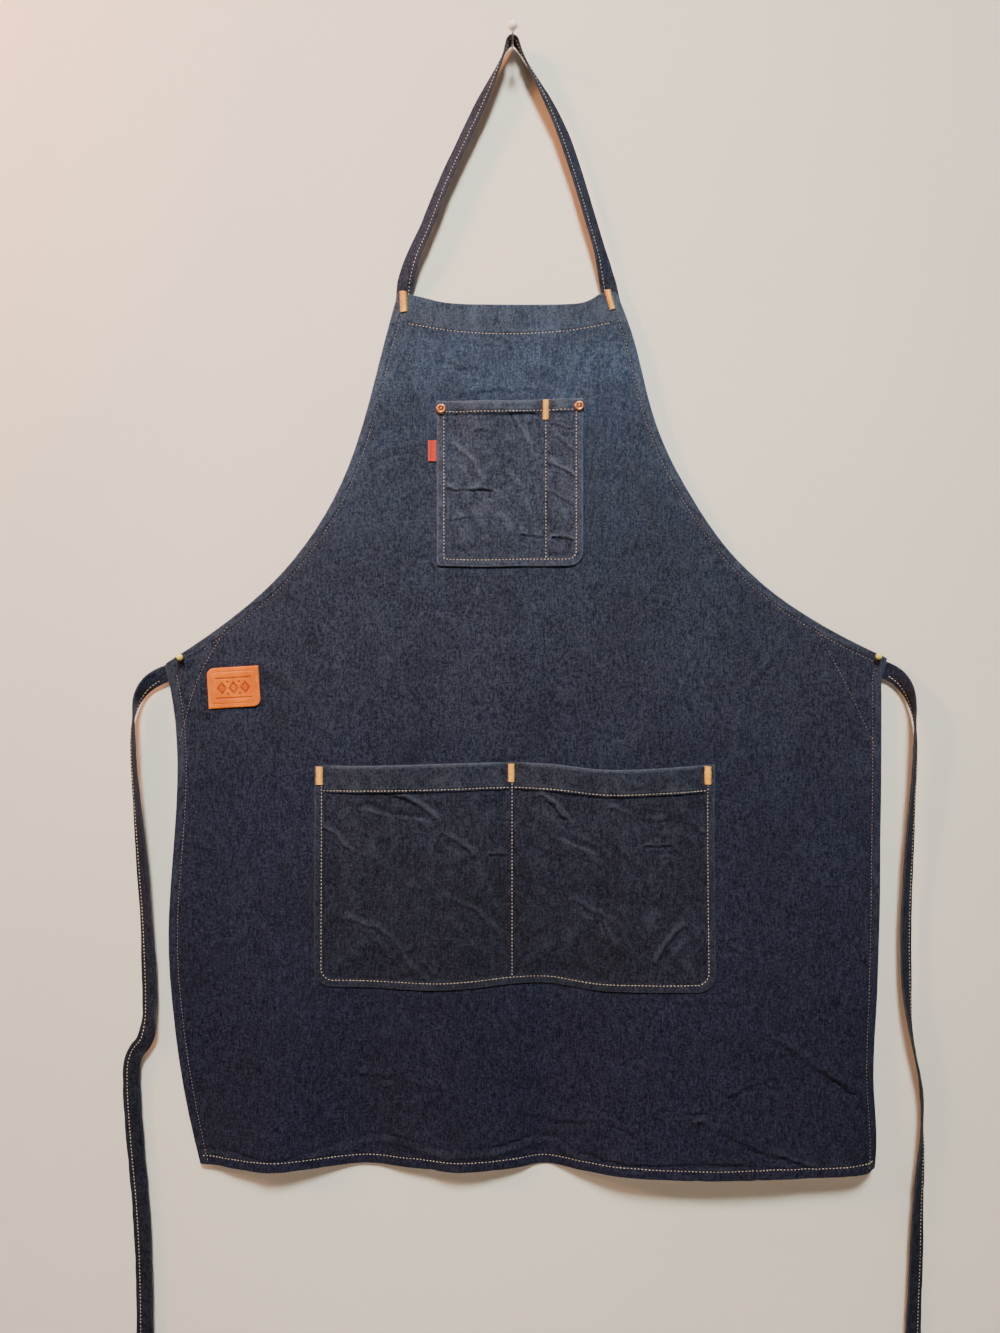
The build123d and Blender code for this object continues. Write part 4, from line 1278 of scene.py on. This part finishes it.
make_tie(
    left_route, 1,
    [(0, 180), (20, 178), (34, 140), (50, 104), (68, 72), (90, 58), (160, 50), (240, 34), (320, 14),
     (360, 8), (372, 50), (386, -35), (402, 20), (420, 8), (500, 2), (880, 10)],
    [(0, 0), (20, 0), (48, 7), (75, 9), (150, 6), (260, 3), (355, 1), (372, 5), (386, 6), (402, 2),
     (440, 0.5), (880, 1)],
    "left", ((-343, -4.9, -621), (-372, -4.9, -652)),
)
make_tie(
    right_route, -1,
    [(0, 180), (20, 178), (34, 145), (50, 110), (70, 78), (95, 62), (160, 52), (240, 42), (330, 40),
     (370, 62), (410, 74), (450, 78), (490, 60), (530, 36), (600, 22), (870, 12)],
    [(0, 0), (20, 0), (48, 7), (75, 9), (150, 7), (260, 5), (400, 5), (500, 3), (600, 2), (870, 1.5)],
    "right", ((366, -4.9, -617), (395, -4.9, -650)),
)

# ---------------------------------------------------------------- pins


def make_head(name, node, at, centre, r, **facts):
    """A ball head with a short collar where the wire enters it and a faint line round it from its mould."""
    angles = np.linspace(0, np.pi, 44)[1:-5]
    raised = 1 + 0.012 * bell((angles - np.pi / 2) / 0.05)
    ball = list(zip(r * np.sin(angles) * raised, centre - r * np.cos(angles)))
    wide, low = ball[-1]
    collar = [(wide * k, low + r * drop) for k, drop in ((0.98, 0.07), (0.85, 0.16), (0.6, 0.2), (0, 0.2))]
    mesh_of(name, *turned([(0, centre - r), *ball, *collar], at, 64), node=node, **facts)


make_head("hook_ball", "hook_pin_head", (0, 0), -36.475, 4.95, paint=WHITE, slot="white_head", body="hook")
for side, at in (("left", (-328, -608.5)), ("right", (361, -607.5))):
    make_head(
        f"{side}_pin_ball", f"{side}_pin_head", at, -14.55, 3.1,
        paint=YELLOW, slot="yellow_head", body=f"{side}_pin")
for name in ("hook_pin_shank", "left_pin_shank", "right_pin_shank"):
    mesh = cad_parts[name].data
    mesh.materials.clear()
    mesh.materials.append(STEEL)

# ---------------------------------------------------------------- wall, floor and light


def plane(name, corners, paint):
    mesh = bpy.data.meshes.new(name)
    mesh.from_pydata([Vector(c) for c in corners], [], [(0, 1, 2, 3)])
    mesh.materials.append(paint)
    made = bpy.data.objects.new(name, mesh)
    bpy.context.scene.collection.objects.link(made)
    made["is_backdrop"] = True


def stage_paint(name, colour, other, one_way=False):
    p = Paint(name, 0.9)
    p.set("Base Color", p.mix(p.span(p.noise(260, detail=3), 0.3, 0.7), colour, other))
    uneven = p.bump(p.noise(40, detail=3), 0.8, 0.4)
    p.set("Normal", p.bump(p.noise(3.5, detail=4), 0.35, 0.35, uneven))
    if one_way:  # the wall can't be seen from behind
        clear = p.node("BsdfTransparent").outputs[0]
        behind = p.node("NewGeometry").outputs["Backfacing"]
        shadow = p.node("LightPath").outputs["Is Shadow Ray"]
        both = p.node("MixShader", {0: p.math("MAXIMUM", behind, shadow), 1: p.shader.outputs[0], 2: clear})
        p.tree.links.new(both.outputs[0], p.tree.nodes["Material Output"].inputs["Surface"])
    return p.material


WIDE, FLOOR_Z, WALL_TOP_Z = 4, -1.75, 2.2  # half the wall's width and its heights
plane("wall", [(-WIDE, 0, FLOOR_Z), (WIDE, 0, FLOOR_Z), (WIDE, 0, WALL_TOP_Z), (-WIDE, 0, WALL_TOP_Z)],
      stage_paint("wall_paint", (0.86, 0.77, 0.62), (0.83, 0.745, 0.60), True))
plane("floor", [(-WIDE, -WIDE, FLOOR_Z), (WIDE, -WIDE, FLOOR_Z), (WIDE, 0, FLOOR_Z), (-WIDE, 0, FLOOR_Z)],
      stage_paint("floor_paint", (0.74, 0.72, 0.69), (0.71, 0.69, 0.66)))


def lamp(name, place, at, size, watts, colour, spread=180):
    light = bpy.data.lights.new(name, "AREA")
    light.shape = "DISK"
    light.size = size
    light.energy = watts
    light.color = colour
    light.spread = np.radians(spread)
    made = bpy.data.objects.new(name, light)
    made.location = place
    made.rotation_euler = (Vector(at) - Vector(place)).to_track_quat("-Z", "Y").to_euler()
    bpy.context.scene.collection.objects.link(made)


lamp("ceiling_light", (0.05, -4.2, 3.8), (-0.05, 0, -0.25), 1.4, 29, (0.90, 0.95, 0.96), 32)
lamp("warm_light", (-4.2, -2.1, 1.6), (0, 0, -0.6), 0.20, 30, (1.0, 0.52, 0.27), 100)
lamp("corner_glow", (-1.15, -0.5, 0.35), (-0.75, 0, 0.15), 0.5, 13, (1.0, 0.34, 0.12), 120)
lamp("front_fill", (0.4, -3.2, -0.6), (0, 0, -0.6), 1.8, 3, (0.92, 0.98, 1.0))
lamp("rear_light", (1.0, 2.5, 0.0), (0, 0, -0.6), 1.6, 20, (1.0, 0.98, 0.95), 60)

world = bpy.data.worlds.new("room")
bpy.context.scene.world = world
world.use_nodes = True
world.node_tree.nodes["Background"].inputs["Color"].default_value = (0.80, 0.82, 0.86, 1)
world.node_tree.nodes["Background"].inputs["Strength"].default_value = 0.02

boxes = [[list(corner) for corner in box] for box in (cad_box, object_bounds())]
